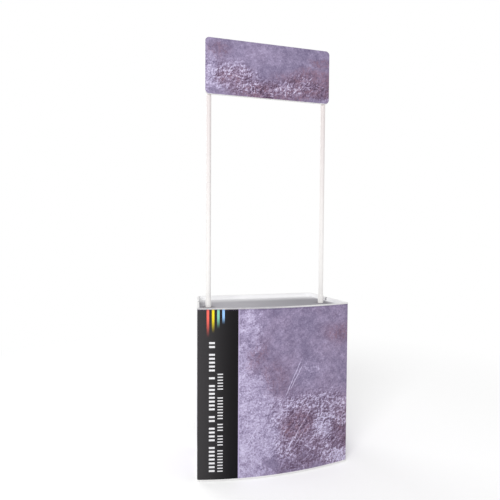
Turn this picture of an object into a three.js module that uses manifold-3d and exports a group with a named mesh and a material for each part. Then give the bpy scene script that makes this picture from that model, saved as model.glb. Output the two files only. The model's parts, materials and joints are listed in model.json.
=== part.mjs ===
import * as THREE from "three";
import { mergeVertices } from "three/addons/utils/BufferGeometryUtils.js";
import Module from "manifold-3d";

const wasm = await Module();
wasm.setup();

// A portable sampling counter with a raised header board. Sizes are in millimetres, X runs along
// the counter, +Y to its open back, +Z up, and the origin lies under the middle of its footprint.

// Outline of the counter seen from above
const counterWidth = 800; // between the sharp front corners
const sideDepth = 405; // from the line of the front corners to the back edge
const frontBulge = 46; // how far the curved front stands out past its corners
const rearTaper = 53; // how far each side draws in towards the back
const frontCornerRadius = 12;
const rearCornerRadius = 30;
const leastCornerRadius = 4;

// Clearances
const seatGap = 0.3; // between pieces that seat in or on each other
const cutOverrun = 5; // how far a cut runs past the face that it opens
const weldDistance = 0.0001; // vertices closer than this are one

// Base moulding and its foot pads
const footHeight = 3;
const footRadius = 13;
const footRound = 0.8;
const footInset = 48; // from the counter's outline to a pad's centre
const footPegRadius = 4;
const baseLipHeight = 7;
const lipRound = 1.2;
const baseWallHeight = 30;
const baseWall = 4;
const baseSocketHeight = 42;
const socketWall = 4;
const pocketMargin = 62; // from the outline to the hollowed underside
const pocketRib = 5;

// Wrap-round panel, its edge profiles and the hook-and-loop strips
const lipProud = 1.5; // how far the mouldings' lips stand out past the panel
const panelThickness = 3;
const panelHeight = 834;
const panelEndSetback = 42; // from the sharp back corners to the ends of the panel
const profileFlange = 1.2;
const profileGrip = 14;
const profileWeb = 2;
const stripThickness = 1.2;
const stripHeight = 24;
const stripMargin = 3; // from a strip to the lip beside it
const stripEndSetback = 62;

// Worktop moulding and its underpan
const rimHeight = 6;
const rimWidth = 9;
const rimRound = 1.6;
const trayDepth = 25;
const trayFilletRadius = 7;
const trayWallDraft = 1;
const trayFloorThickness = 4;
const skirtDepth = 54;
const skirtWall = 4;
const underpanThickness = 4;
const hungSocketDepth = 34;
const notchSetback = 28; // from the poles' line back to the notches
const notchWidth = 10;
const notchMouth = { reach: 6, depth: 3.5 }; // in the rim's inner edge
const notchSlot = { reach: 1.8, depth: 17 }; // down the tray's wall
const postRadius = 6;
const postInset = 52;

// Uprights, shelf rails and shelf
const uprightWidth = 25;
const uprightWall = 1.6;
const uprightCornerRadius = 3;
const uprightSideInset = 38; // from a side face to the centre of a rear upright
const rearUprightInset = 66; // from the back edge to the centre of a rear upright
const shelfRise = 410; // from the base's lip up to the top of the rails
const railThickness = 2.5;
const railLeg = 26;
const railLedge = 18;
const railStopHeight = 12;
const railFrontClearance = 12;
const railRearOverhang = 24;
const shelfThickness = 16;
const shelfEdgeBevel = 1.5;
const shelfSideClearance = 1.5;
const shelfRearInset = 30;
const shelfCornerRadius = 12;
const grip = { width: 120, depth: 20, radius: 9 }; // the hand cut-out in the shelf's back edge

// Header poles and their fittings
const poleRadius = 12.5;
const poleWall = 1.5;
const poleSetback = 176; // from the line of the front corners
const collarHeight = 45;
const collarThickness = 2.4;
const collarBulge = 1;
const socketFloor = 3;
const socketFlange = 7;
const socketFlangeHeight = 3;
const ferruleLength = 100;
const ferruleWall = 1.5;
const capHeadHeight = 3;
const capPlugLength = 14;

// Header board, its printed face and its clips
const servingHeight = 1070; // clear height from the worktop's rim to the header
const headerHeight = 284;
const headerStandoff = 27; // from the poles' centres to the printed face
const headerCornerRadius = 22;
const boardDepth = 12;
const boardSkin = 4;
const boardRim = 5;
const boardEdgeRound = 1;
const boardRib = 2.5;
const graphicThickness = 0.8;
const poleTopInset = 56; // from the header's top edge down to the pole caps
const clipHeight = 46;
const clipTab = 14; // of the clip's plate above and below its ring
const clipEndGap = 3; // from a clip's plate to the board's rim
const clipPlate = 3;
const clipWall = 3.2;
const clipNeckWidth = 20;
const clipRoof = 3;
const lowerClipRise = 40;

// Screws
const screwShankRadius = 1.7;
const screwHeadRadius = 4;
const screwHeadHeight = 2.4;
const screwRecessWidth = 1;
const screwTipLength = 2;
const panScrewLength = 18;
const railScrewReach = 5; // how far a rail screw runs on inside the upright

// Shares and counts
const footPegShare = 0.55; // of the base lip's height
const pocketShare = 0.5; // of the base lip's height
const poleJointShare = 0.5; // of the pole's whole length
const postShares = [-0.62, 0, 0.62]; // of the distance from the middle to a pole
const footShares = [-0.9, 0, 0.9]; // of the distance from the middle to a pole
const screwBiteShare = 0.7; // of the board's skin
const ribShares = [-0.17, 0.17]; // of the header's height, from its middle
const uprightRibShares = [-0.5, 0, 0.5]; // of the distance from the middle to a pole
const screwRecessShare = 0.5; // of the screw head's height
const headCrownShare = 0.45; // of the screw head's height
const frontSteps = 10;
const cornerSteps = 4;
const edgeSteps = 2;
const poleSides = 24;
const screwSides = 10;
const pocketColumns = 4;
const pocketRows = 2;

// Heights
const baseLipZ = footHeight + baseLipHeight;
const panelBottomZ = baseLipZ + seatGap;
const panelTopZ = panelBottomZ + panelHeight;
const rimUnderZ = panelTopZ + seatGap;
const rimTopZ = rimUnderZ + rimHeight;
const trayFloorZ = rimTopZ - trayDepth;
const trayUnderZ = trayFloorZ - trayFloorThickness;
const skirtBottomZ = rimUnderZ - skirtDepth;
const underpanTopZ = skirtBottomZ + underpanThickness;
const railTopZ = baseLipZ + shelfRise;
const collarTopZ = trayFloorZ + collarHeight;
const headerBottomZ = rimTopZ + servingHeight;
const headerTopZ = headerBottomZ + headerHeight;
const poleTopZ = headerTopZ - poleTopInset - capHeadHeight;
const socketFootZ = underpanTopZ + seatGap;
const poleFootZ = socketFootZ + socketFloor + seatGap;
const poleJointZ = poleFootZ + (poleTopZ - poleFootZ) * poleJointShare;

// Places seen from above
const cornerX = counterWidth / 2;
const frontLineY = (frontBulge - sideDepth) / 2;
const rearY = frontLineY + sideDepth;
const frontRadius = (cornerX ** 2 + frontBulge ** 2) / (2 * frontBulge);
const frontCentre = new THREE.Vector2(0, frontLineY - frontBulge + frontRadius);
const sideLength = Math.hypot(rearTaper, sideDepth);
const sideRun = new THREE.Vector2(-rearTaper, sideDepth).divideScalar(sideLength);
const sideOut = new THREE.Vector2(sideDepth, rearTaper).divideScalar(sideLength);
const poleY = frontLineY + poleSetback;
const rearUprightY = rearY - rearUprightInset;
const poleX = cornerX - (rearTaper * (rearUprightY - frontLineY)) / sideDepth - uprightSideInset;
const panelInner = lipProud + panelThickness;
const loopInset = panelInner + seatGap;
const hookInset = loopInset + stripThickness + seatGap;
const wallInset = hookInset + stripThickness + seatGap;
const skirtInner = wallInset + skirtWall;
const recessInset = rimWidth + rimRound;
const poleInnerRadius = poleRadius - poleWall;
const railOuterX = poleX - uprightWidth / 2 - seatGap;
const railInnerX = railOuterX - railThickness;
const ledgeInnerX = railInnerX - railLedge;
const railFrontY = frontFaceY(railOuterX, panelInner) + railFrontClearance;
const railRearY = rearUprightY + uprightWidth / 2 + railRearOverhang;

// Header depths, measured from the line of the poles
const graphicFrontY = poleY - headerStandoff;
const boardFrontY = graphicFrontY + graphicThickness + seatGap;
const pocketFloorY = boardFrontY + boardSkin;
const clipFrontY = pocketFloorY + seatGap;
const clipBackY = clipFrontY + clipPlate;
const clipHalf = poleRadius + seatGap + clipWall;
const headerWidth = 2 * (poleX + clipHalf + clipEndGap + boardRim);
const headerMiddleZ = (headerBottomZ + headerTopZ) / 2;

const white = { color: 0xf4f3f2, roughness: 0.35, metalness: 0 };
const greyPlastic = { color: 0xd9d9da, roughness: 0.5, metalness: 0 };
const rubber = { color: 0x2a2a2c, roughness: 0.85, metalness: 0 };
const print = { color: 0x8f7f9e, roughness: 0.45, metalness: 0 };
const hookTape = { color: 0xe8e8e8, roughness: 0.95, metalness: 0 };
const aluminium = { color: 0xc9cbce, roughness: 0.35, metalness: 0.9 };
const steel = { color: 0xb4b6b8, roughness: 0.3, metalness: 1 };
const whiteTube = { color: 0xf2efee, roughness: 0.3, metalness: 0 };
const board = { color: 0xefefee, roughness: 0.55, metalness: 0 };

// Height along Y of the curved front at x, drawn in by inset.
function frontFaceY(x, inset) {
  return frontCentre.y - Math.sqrt((frontRadius - inset) ** 2 - x ** 2);
}

// A point of the right-hand side, measured along it from the sharp front corner and in from its face.
function onSide(run, inset) {
  const corner = new THREE.Vector2(cornerX, frontLineY);
  return corner.addScaledVector(sideRun, run).addScaledVector(sideOut, -inset);
}

function arc(centre, radius, start, end, steps) {
  const points = [];
  for (let i = 0; i <= steps; i++) {
    const angle = start + ((end - start) * i) / steps;
    points.push(new THREE.Vector2(Math.cos(angle), Math.sin(angle)).multiplyScalar(radius).add(centre));
  }
  return points;
}

function cornerRadiusAt(radius, inset) {
  return Math.max(radius - inset, leastCornerRadius);
}

// The curved front and the rounded corner, from the middle of the front to the start of the side.
function frontHalf(inset) {
  const radius = cornerRadiusAt(frontCornerRadius, inset);
  const depth = inset + radius;
  const from = onSide(0, depth).sub(frontCentre);
  const along = from.dot(sideRun);
  const reach = frontRadius - depth;
  const run = -along - Math.sqrt(along ** 2 - from.lengthSq() + reach ** 2);
  const centre = onSide(run, depth);
  const meet = centre.clone().sub(frontCentre).angle() - 2 * Math.PI;
  return [
    ...arc(frontCentre, frontRadius - inset, -Math.PI / 2, meet, frontSteps),
    ...arc(centre, radius, meet, sideOut.angle(), cornerSteps).slice(1),
  ];
}

function rearCorner(inset) {
  const radius = cornerRadiusAt(rearCornerRadius, inset);
  const depth = inset + radius;
  const run = (rearY - depth + depth * sideOut.y - frontLineY) / sideRun.y;
  return arc(onSide(run, depth), radius, sideOut.angle(), Math.PI / 2, cornerSteps);
}

function mirrored(points) {
  return points.map((p) => new THREE.Vector2(-p.x, p.y)).reverse();
}

// The whole outline, drawn in by inset, anticlockwise from the middle of the front.
function outline(inset) {
  const right = [...frontHalf(inset), ...rearCorner(inset)];
  return [...right, ...mirrored(right.slice(1))];
}

// A band that follows the left side, the front and the right side, between two insets.
function wrapBand(outer, inner, endSetback) {
  const half = (inset) => [...frontHalf(inset), onSide(sideLength - endSetback, inset)];
  const path = (inset) => [...mirrored(half(inset).slice(1)), ...half(inset)];
  return [...path(outer), ...path(inner).reverse()];
}

function roundedRectangle(width, height, radius, steps = cornerSteps) {
  const x = width / 2 - radius;
  const y = height / 2 - radius;
  const centres = [[x, y], [-x, y], [-x, -y], [x, -y]];
  return centres.flatMap(([cx, cy], i) =>
    arc(new THREE.Vector2(cx, cy), radius, (i * Math.PI) / 2, ((i + 1) * Math.PI) / 2, steps),
  );
}

// Quarter turn between two [inset, height] rows, leaving the first along the level or straight up.
function bend(from, to, levelFirst) {
  const rows = [];
  for (let i = 0; i <= edgeSteps; i++) {
    const angle = ((Math.PI / 2) * i) / edgeSteps;
    const quick = Math.sin(angle);
    const slow = 1 - Math.cos(angle);
    const across = levelFirst ? quick : slow;
    const up = levelFirst ? slow : quick;
    rows.push([from[0] + (to[0] - from[0]) * across, from[1] + (to[1] - from[1]) * up]);
  }
  return rows;
}

// A closed skin through rings with equal counts of points, flat at its first and last ring.
function lofted(rows, ringAt) {
  const rings = rows.map(([inset, height]) => ringAt(inset).map((p) => [p.x, p.y, height]));
  const count = rings[0].length;
  const index = [];
  for (let r = 0; r + 1 < rings.length; r++) {
    for (let i = 0; i < count; i++) {
      const a = r * count + i;
      const b = r * count + ((i + 1) % count);
      index.push(a, b, a + count, b, b + count, a + count);
    }
  }
  const flat = (ring) => THREE.ShapeUtils.triangulateShape(ring.map(([x, y]) => new THREE.Vector2(x, y)), []);
  const last = (rings.length - 1) * count;
  flat(rings[0]).forEach(([a, b, c]) => index.push(c, b, a));
  flat(rings[rings.length - 1]).forEach(([a, b, c]) => index.push(a + last, b + last, c + last));
  const geometry = new THREE.BufferGeometry();
  geometry.setAttribute("position", new THREE.Float32BufferAttribute(rings.flat(2), 3));
  geometry.setIndex(index);
  return geometry;
}

function extruded(points, bottom, top, holes = []) {
  const shape = new THREE.Shape(points);
  holes.forEach((hole) => shape.holes.push(new THREE.Path(hole)));
  const depth = top - bottom;
  return new THREE.ExtrudeGeometry(shape, { depth, bevelEnabled: false }).translate(0, 0, bottom);
}

function turned(profile, sides = poleSides) {
  const points = profile.map(([radius, height]) => new THREE.Vector2(radius, height));
  return new THREE.LatheGeometry(points, sides).rotateX(Math.PI / 2);
}

function bar(radius, bottom, top, sides = poleSides) {
  return turned([[0, bottom], [radius, bottom], [radius, top], [0, top]], sides);
}

function tube(inner, outer, bottom, top) {
  return turned([[inner, bottom], [outer, bottom], [outer, top], [inner, top], [inner, bottom]]);
}

function box(low, high) {
  const size = high.map((value, i) => value - low[i]);
  const centre = high.map((value, i) => (value + low[i]) / 2);
  return new THREE.BoxGeometry(...size).translate(...centre);
}

function toSolid(geometry) {
  const bare = geometry.clone();
  bare.deleteAttribute("normal");
  bare.deleteAttribute("uv");
  const merged = mergeVertices(bare, weldDistance);
  const vertProperties = merged.attributes.position.array;
  const triVerts = new Uint32Array(merged.index.array);
  return new wasm.Manifold(new wasm.Mesh({ numProp: 3, vertProperties, triVerts }));
}

function toGeometry(solid) {
  const mesh = solid.getMesh();
  const geometry = new THREE.BufferGeometry();
  geometry.setAttribute("position", new THREE.BufferAttribute(mesh.vertProperties, 3));
  geometry.setIndex(new THREE.BufferAttribute(mesh.triVerts, 1));
  return geometry;
}

function joined(pieces) {
  return toGeometry(pieces.map(toSolid).reduce((whole, piece) => whole.add(piece)));
}

function cutBy(geometry, tools) {
  return toGeometry(tools.map(toSolid).reduce((whole, tool) => whole.subtract(tool), toSolid(geometry)));
}

function piece(name, geometry, finish) {
  const flat = geometry.index ? geometry.toNonIndexed() : geometry;
  flat.computeVertexNormals();
  const mesh = new THREE.Mesh(flat, new THREE.MeshStandardMaterial(finish));
  mesh.name = name;
  return mesh;
}

function eachSide(make) {
  return [["left", -1], ["right", 1]].map(([side, sign]) => make(side, sign));
}

// Places of the foot pads and of the worktop's screw posts, three along the front and three behind
function footPlaces() {
  return footShares.flatMap((share) => {
    const x = share * poleX;
    return [[x, frontFaceY(x, footInset)], [x, rearY - footInset]];
  });
}

function postPlaces() {
  return postShares.flatMap((share) => {
    const x = share * poleX;
    return [[x, frontFaceY(x, postInset)], [x, rearY - postInset]];
  });
}

function uprightPlaces() {
  return [["front_left", -poleX, poleY], ["front_right", poleX, poleY],
    ["rear_left", -poleX, rearUprightY], ["rear_right", poleX, rearUprightY]];
}

// A square collar for the end of an upright
function squareSocket(x, y, bottom, top) {
  const inner = uprightWidth + 2 * seatGap;
  const outer = inner + 2 * socketWall;
  const ring = roundedRectangle(outer, outer, uprightCornerRadius + socketWall);
  const hole = roundedRectangle(inner, inner, uprightCornerRadius);
  return extruded(ring, bottom, top, [hole]).translate(x, y, 0);
}

function baseTray() {
  const wallTop = baseLipZ + baseWallHeight;
  const rows = [
    ...bend([lipRound, footHeight], [0, footHeight + lipRound], true),
    ...bend([0, baseLipZ - lipRound], [lipRound, baseLipZ], false),
    [wallInset, baseLipZ],
    ...bend([wallInset, wallTop - lipRound], [wallInset + lipRound, wallTop], false),
    [wallInset + baseWall, wallTop],
    [wallInset + baseWall, baseLipZ],
  ];
  const plateMiddle = footHeight + baseLipHeight / 2;
  const sockets = uprightPlaces().map(([, x, y]) =>
    squareSocket(x, y, plateMiddle, baseLipZ + baseSocketHeight),
  );
  const pegTop = footHeight + baseLipHeight * footPegShare + seatGap;
  const pegHoles = footPlaces().map(([x, y]) =>
    bar(footPegRadius + seatGap, footHeight - cutOverrun, pegTop, screwSides).translate(x, y, 0),
  );
  const body = joined([lofted(rows, outline), ...sockets]);
  return piece("base_tray", cutBy(body, [...pegHoles, ...pockets()]), white);
}

// The hollows under the base plate, with ribs left between them
function pockets() {
  const halfX = poleX - pocketMargin / 2;
  const low = frontLineY + pocketMargin;
  const high = rearY - 2 * pocketMargin;
  const stepX = (2 * halfX) / pocketColumns;
  const stepY = (high - low) / pocketRows;
  const tools = [];
  for (let column = 0; column < pocketColumns; column++) {
    for (let row = 0; row < pocketRows; row++) {
      const x = -halfX + column * stepX;
      const y = low + row * stepY;
      const top = footHeight + baseLipHeight * pocketShare;
      tools.push(box(
        [x + pocketRib / 2, y + pocketRib / 2, footHeight - cutOverrun],
        [x + stepX - pocketRib / 2, y + stepY - pocketRib / 2, top],
      ));
    }
  }
  return tools;
}

function feet() {
  const top = footHeight - seatGap;
  const pegTop = footHeight + baseLipHeight * footPegShare;
  const foot = turned([
    [0, 0], [footRadius - footRound, 0], [footRadius, footRound], [footRadius, top],
    [footPegRadius, top], [footPegRadius, pegTop], [0, pegTop],
  ], poleSides);
  return footPlaces().map(([x, y], i) => {
    const mesh = piece(`rubber_foot_${i + 1}`, foot, rubber);
    mesh.position.set(x, y, 0);
    return mesh;
  });
}

function uprights() {
  const outer = roundedRectangle(uprightWidth, uprightWidth, uprightCornerRadius);
  const innerWidth = uprightWidth - 2 * uprightWall;
  const inner = roundedRectangle(innerWidth, innerWidth, uprightCornerRadius - uprightWall / 2);
  const body = extruded(outer, baseLipZ + seatGap, skirtBottomZ - seatGap, [inner]);
  const screwHole = bar(screwShankRadius + seatGap, -uprightWidth, uprightWidth, screwSides)
    .rotateY(Math.PI / 2)
    .translate(0, 0, railTopZ - railLeg / 2);
  const drilled = cutBy(body, [screwHole]);
  return uprightPlaces().map(([name, x, y]) => {
    const mesh = piece(`${name}_upright`, drilled, aluminium);
    mesh.position.set(x, y, 0);
    return mesh;
  });
}

function wrapPanel() {
  const band = wrapBand(lipProud, panelInner, panelEndSetback);
  return piece("wrap_panel", extruded(band, panelBottomZ, panelTopZ), print);
}

// A U-shaped profile pushed over each back edge of the panel
function edgeProfiles() {
  const end = sideLength - panelEndSetback;
  const web = end + seatGap;
  const back = web + profileWeb;
  const start = end - profileGrip;
  const outerFace = lipProud - seatGap;
  const innerFace = panelInner + seatGap;
  const outerSkin = outerFace - profileFlange;
  const innerSkin = innerFace + profileFlange;
  const section = [
    onSide(start, outerFace), onSide(start, outerSkin), onSide(back, outerSkin), onSide(back, innerSkin),
    onSide(start, innerSkin), onSide(start, innerFace), onSide(web, innerFace), onSide(web, outerFace),
  ];
  return eachSide((side, sign) => {
    const points = sign > 0 ? section : mirrored(section);
    return piece(`${side}_edge_profile`, extruded(points, panelBottomZ, panelTopZ), white);
  });
}

// Hook strips lie on the mouldings, loop strips face them on the panel
function strip(name, inset, bottom) {
  const band = wrapBand(inset, inset + stripThickness, stripEndSetback);
  return piece(name, extruded(band, bottom, bottom + stripHeight), hookTape);
}

function shelfRails() {
  const low = [railInnerX, railFrontY, railTopZ - railLeg];
  const leg = box(low, [railOuterX, railRearY, railTopZ]);
  const ledge = box(
    [ledgeInnerX, railFrontY, railTopZ - railThickness],
    [railInnerX + railThickness / 2, railRearY, railTopZ],
  );
  const stop = box(
    [ledgeInnerX, railFrontY, railTopZ - railThickness],
    [railOuterX, railFrontY + railThickness, railTopZ + railStopHeight],
  );
  const holes = [poleY, rearUprightY].map((y) =>
    bar(screwShankRadius + seatGap, railInnerX - cutOverrun, railOuterX + cutOverrun, screwSides)
      .rotateY(Math.PI / 2)
      .translate(0, y, railTopZ - railLeg / 2),
  );
  const right = cutBy(joined([leg, ledge, stop]), holes);
  return eachSide((side, sign) =>
    piece(`${side}_shelf_rail`, sign > 0 ? right : flippedAcrossX(right), aluminium),
  );
}

// The same solid on the other side of the counter's middle
function flippedAcrossX(geometry) {
  const flipped = geometry.clone().scale(-1, 1, 1);
  const index = flipped.index.array;
  for (let i = 0; i < index.length; i += 3) {
    [index[i + 1], index[i + 2]] = [index[i + 2], index[i + 1]];
  }
  return flipped;
}

function storageShelf() {
  const halfWidth = railOuterX - shelfSideClearance;
  const stopY = railFrontY + railThickness + seatGap;
  const radius = Math.hypot(ledgeInnerX, frontCentre.y - stopY);
  const turn = Math.asin(halfWidth / radius);
  const back = rearY - shelfRearInset;
  const front = arc(frontCentre, radius, -Math.PI / 2 - turn, -Math.PI / 2 + turn, 2 * frontSteps);
  const corner = new THREE.Vector2(halfWidth - shelfCornerRadius, back - shelfCornerRadius);
  const rightCorner = arc(corner, shelfCornerRadius, 0, Math.PI / 2, cornerSteps);
  const gripInner = new THREE.Vector2(grip.width / 2 - grip.radius, back - grip.depth + grip.radius);
  const gripCorner = arc(gripInner, grip.radius, 0, -Math.PI / 2, cornerSteps);
  const rightGrip = [new THREE.Vector2(grip.width / 2, back), ...gripCorner];
  const points = [
    ...front, ...rightCorner, ...rightGrip, ...mirrored(rightGrip), ...mirrored(rightCorner),
  ];
  const shape = new THREE.Shape(points);
  const geometry = new THREE.ExtrudeGeometry(shape, {
    depth: shelfThickness - 2 * shelfEdgeBevel,
    bevelSize: shelfEdgeBevel,
    bevelThickness: shelfEdgeBevel,
    bevelOffset: -shelfEdgeBevel,
    bevelSegments: 1,
  });
  geometry.translate(0, 0, railTopZ + seatGap + shelfEdgeBevel);
  return piece("storage_shelf", geometry, board);
}

function worktopTray() {
  const floorEdge = recessInset + trayWallDraft + trayFilletRadius;
  const rows = [
    [skirtInner, trayUnderZ],
    [skirtInner, skirtBottomZ],
    [wallInset, skirtBottomZ],
    [wallInset, rimUnderZ],
    ...bend([lipRound, rimUnderZ], [0, rimUnderZ + lipRound], true),
    ...bend([0, rimTopZ - rimRound], [rimRound, rimTopZ], false),
    ...bend([rimWidth, rimTopZ], [recessInset, rimTopZ - rimRound], true),
    ...bend([recessInset + trayWallDraft, trayFloorZ + trayFilletRadius], [floorEdge, trayFloorZ], false),
  ];
  const postTop = trayUnderZ + trayFloorThickness / 2;
  const posts = postPlaces().map(([x, y]) =>
    bar(postRadius, underpanTopZ + seatGap, postTop, screwSides).translate(x, y, 0),
  );
  const screwTop = screwSeatZ() + panScrewLength + seatGap;
  const screwHoles = postPlaces().map(([x, y]) =>
    bar(screwShankRadius + seatGap, skirtBottomZ, screwTop, screwSides).translate(x, y, 0),
  );
  const poleHoles = eachSide((side, sign) =>
    bar(collarRadius() + seatGap, skirtBottomZ, rimTopZ).translate(sign * poleX, poleY, 0),
  );
  const body = joined([lofted(rows, outline), ...posts]);
  return piece("worktop_tray", cutBy(body, [...screwHoles, ...poleHoles, ...rimNotches()]), white);
}

function collarRadius() {
  return poleRadius + seatGap + collarThickness;
}

function screwSeatZ() {
  return skirtBottomZ - seatGap;
}

// A locating notch at each side, with a mouth in the rim's inner edge and a slot down the tray's wall
function rimNotches() {
  const middle = (poleSetback + notchSetback) / sideRun.y;
  const low = middle - notchWidth / 2;
  const high = middle + notchWidth / 2;
  const inner = recessInset + cutOverrun;
  return [notchMouth, notchSlot].flatMap(({ reach, depth }) => {
    const outer = recessInset - reach;
    const section = [onSide(low, outer), onSide(high, outer), onSide(high, inner), onSide(low, inner)];
    return eachSide((side, sign) =>
      extruded(sign > 0 ? section : mirrored(section), rimTopZ - depth, rimTopZ + cutOverrun),
    );
  });
}

function worktopUnderpan() {
  const edge = skirtInner + seatGap;
  const plate = lofted([[edge, skirtBottomZ], [edge, underpanTopZ]], outline);
  const middle = skirtBottomZ + underpanThickness / 2;
  const low = skirtBottomZ - hungSocketDepth;
  const sockets = uprightPlaces().map(([, x, y]) => squareSocket(x, y, low, middle));
  const holes = postPlaces().map(([x, y]) =>
    bar(screwShankRadius + seatGap, skirtBottomZ - cutOverrun, underpanTopZ + cutOverrun, screwSides)
      .translate(x, y, 0),
  );
  return piece("worktop_underpan", cutBy(joined([plate, ...sockets]), holes), greyPlastic);
}

// The bushing that takes the foot of a pole, with a barrel-shaped collar above the tray's floor
function poleSockets() {
  const bore = poleRadius + seatGap;
  const outer = collarRadius();
  const flangeTop = trayUnderZ - seatGap;
  const flangeBottom = flangeTop - socketFlangeHeight;
  const waist = outer - seatGap;
  const socket = turned([
    [0, socketFootZ], [waist, socketFootZ], [waist, flangeBottom], [waist + socketFlange, flangeBottom],
    [waist + socketFlange, flangeTop], [waist, flangeTop], [waist, trayFloorZ + seatGap],
    ...collarProfile(waist, bore),
    [bore, socketFootZ + socketFloor], [0, socketFootZ + socketFloor],
  ]);
  return eachSide((side, sign) => {
    const mesh = piece(`${side}_pole_socket`, socket, whiteTube);
    mesh.position.set(sign * poleX, poleY, 0);
    return mesh;
  });
}

function collarProfile(foot, bore) {
  const steps = 2 * edgeSteps;
  const start = trayFloorZ + seatGap;
  const points = [];
  for (let i = 1; i <= steps; i++) {
    const share = i / steps;
    const swell = collarBulge * Math.sin(Math.PI * share);
    const narrowing = (foot - bore) / 2;
    points.push([foot + swell - narrowing * share ** 2, start + (collarTopZ - start) * share]);
  }
  return [...points, [bore, collarTopZ]];
}

// A pan-headed screw, its head's seat at zero and its shank running down
function screw(length) {
  const crown = screwHeadHeight * headCrownShare;
  const body = turned([
    [0, -length], [screwShankRadius, screwTipLength - length], [screwShankRadius, 0],
    [screwHeadRadius, 0], [screwHeadRadius, screwHeadHeight - crown],
    [screwHeadRadius - crown, screwHeadHeight], [0, screwHeadHeight],
  ], screwSides);
  const floor = screwHeadHeight * (1 - screwRecessShare);
  const reach = screwHeadRadius - crown - screwRecessWidth / 2;
  const top = screwHeadHeight + cutOverrun;
  const half = screwRecessWidth / 2;
  const across = box([-reach, -half, floor], [reach, half, top]);
  const along = box([-half, -reach, floor], [half, reach, top]);
  return cutBy(body, [across, along]);
}

function underpanScrews() {
  const geometry = screw(panScrewLength).rotateX(Math.PI);
  return postPlaces().map(([x, y], i) => {
    const mesh = piece(`underpan_screw_${i + 1}`, geometry, steel);
    mesh.position.set(x, y, screwSeatZ());
    return mesh;
  });
}

function railScrews() {
  const length = railThickness + 2 * seatGap + uprightWall + railScrewReach;
  const geometry = screw(length);
  return [["front", poleY], ["rear", rearUprightY]].flatMap(([end, y]) =>
    eachSide((side, sign) => {
      const mesh = piece(`${end}_${side}_rail_screw`, geometry, steel);
      mesh.position.set(sign * (railInnerX - seatGap), y, railTopZ - railLeg / 2);
      mesh.rotation.y = (-sign * Math.PI) / 2;
      return mesh;
    }),
  );
}

function lowerPole(side) {
  return piece(`${side}_lower_pole`, tube(poleInnerRadius, poleRadius, poleFootZ, poleJointZ), whiteTube);
}

function upperPole(side) {
  const bottom = poleJointZ + seatGap;
  return piece(`${side}_upper_pole`, tube(poleInnerRadius, poleRadius, bottom, poleTopZ), whiteTube);
}

// The spigot that stays in the lower pole and takes the upper one
function ferrule(side) {
  const outer = poleInnerRadius - seatGap;
  const bottom = poleJointZ - ferruleLength / 2;
  const sleeve = tube(outer - ferruleWall, outer, bottom, bottom + ferruleLength);
  return piece(`${side}_pole_ferrule`, sleeve, aluminium);
}

function poleCap(side) {
  const plug = poleInnerRadius - seatGap;
  const seat = poleTopZ + seatGap;
  const profile = [
    [0, poleTopZ - capPlugLength], [plug, poleTopZ - capPlugLength], [plug, seat], [poleRadius, seat],
    [poleRadius, seat + capHeadHeight / 2], [poleRadius - capHeadHeight / 2, seat + capHeadHeight],
    [0, seat + capHeadHeight],
  ];
  return piece(`${side}_pole_cap`, turned(profile), greyPlastic);
}

function poles() {
  return eachSide((side, sign) => {
    const pole = new THREE.Group();
    pole.position.set(sign * poleX, poleY, 0);
    pole.add(lowerPole(side), ferrule(side), upperPole(side), poleCap(side));
    return pole;
  });
}

function capTopZ() {
  return poleTopZ + seatGap + capHeadHeight;
}

function clipBottoms() {
  const roofZ = capTopZ() + seatGap;
  return { upper: roofZ + clipRoof - clipHeight, lower: headerBottomZ + lowerClipRise };
}

function clipScrewPlaces() {
  return [["bottom", -clipTab / 2], ["top", clipHeight + clipTab / 2]];
}

// A shallow moulded pan, open at the back, with ribs and holes for the clips' screws
function headerBoard() {
  const ringAt = (inset) =>
    roundedRectangle(headerWidth - 2 * inset, headerHeight - 2 * inset, headerCornerRadius - inset);
  const round = boardEdgeRound;
  const pocket = boardDepth - boardSkin;
  const rows = [
    [boardRim, pocket],
    [boardRim, 0],
    ...bend([round, 0], [0, round], true),
    ...bend([0, boardDepth - round], [round, boardDepth], false),
  ];
  const pan = lofted(rows, ringAt);
  const ribHalf = boardRib / 2;
  const reach = poleX - clipHalf - clipEndGap;
  const levelRibs = ribShares.map((share) => {
    const y = share * headerHeight;
    return box([-reach, y - ribHalf, boardRib], [reach, y + ribHalf, boardDepth - boardSkin / 2]);
  });
  const tall = headerHeight / 2 - boardRim / 2;
  const uprightRibs = uprightRibShares.map((share) => {
    const x = share * poleX;
    return box([x - ribHalf, -tall, boardRib], [x + ribHalf, tall, boardDepth - boardSkin / 2]);
  });
  const upright = joined([pan, ...levelRibs, ...uprightRibs]).rotateX(Math.PI / 2);
  const body = upright.translate(0, boardFrontY + boardDepth, headerMiddleZ);
  const holes = clipPlaces().flatMap(([, , x, z]) =>
    clipScrewPlaces().map(([, rise]) =>
      bar(screwShankRadius + seatGap, -boardSkin * screwBiteShare - seatGap, cutOverrun, screwSides)
        .rotateX(-Math.PI / 2)
        .translate(x, pocketFloorY, z + rise),
    ),
  );
  return piece("header_board", cutBy(body, holes), white);
}

function clipPlaces() {
  const bottoms = clipBottoms();
  return ["upper", "lower"].flatMap((level) =>
    eachSide((side, sign) => [side, level, sign * poleX, bottoms[level]]),
  );
}

function headerGraphic() {
  const margin = 2 * boardEdgeRound;
  const radius = headerCornerRadius - boardEdgeRound;
  const sheet = roundedRectangle(headerWidth - margin, headerHeight - margin, radius);
  const geometry = extruded(sheet, 0, graphicThickness).rotateX(Math.PI / 2);
  geometry.translate(0, graphicFrontY + graphicThickness, headerMiddleZ);
  return piece("header_graphic", geometry, print);
}

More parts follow.
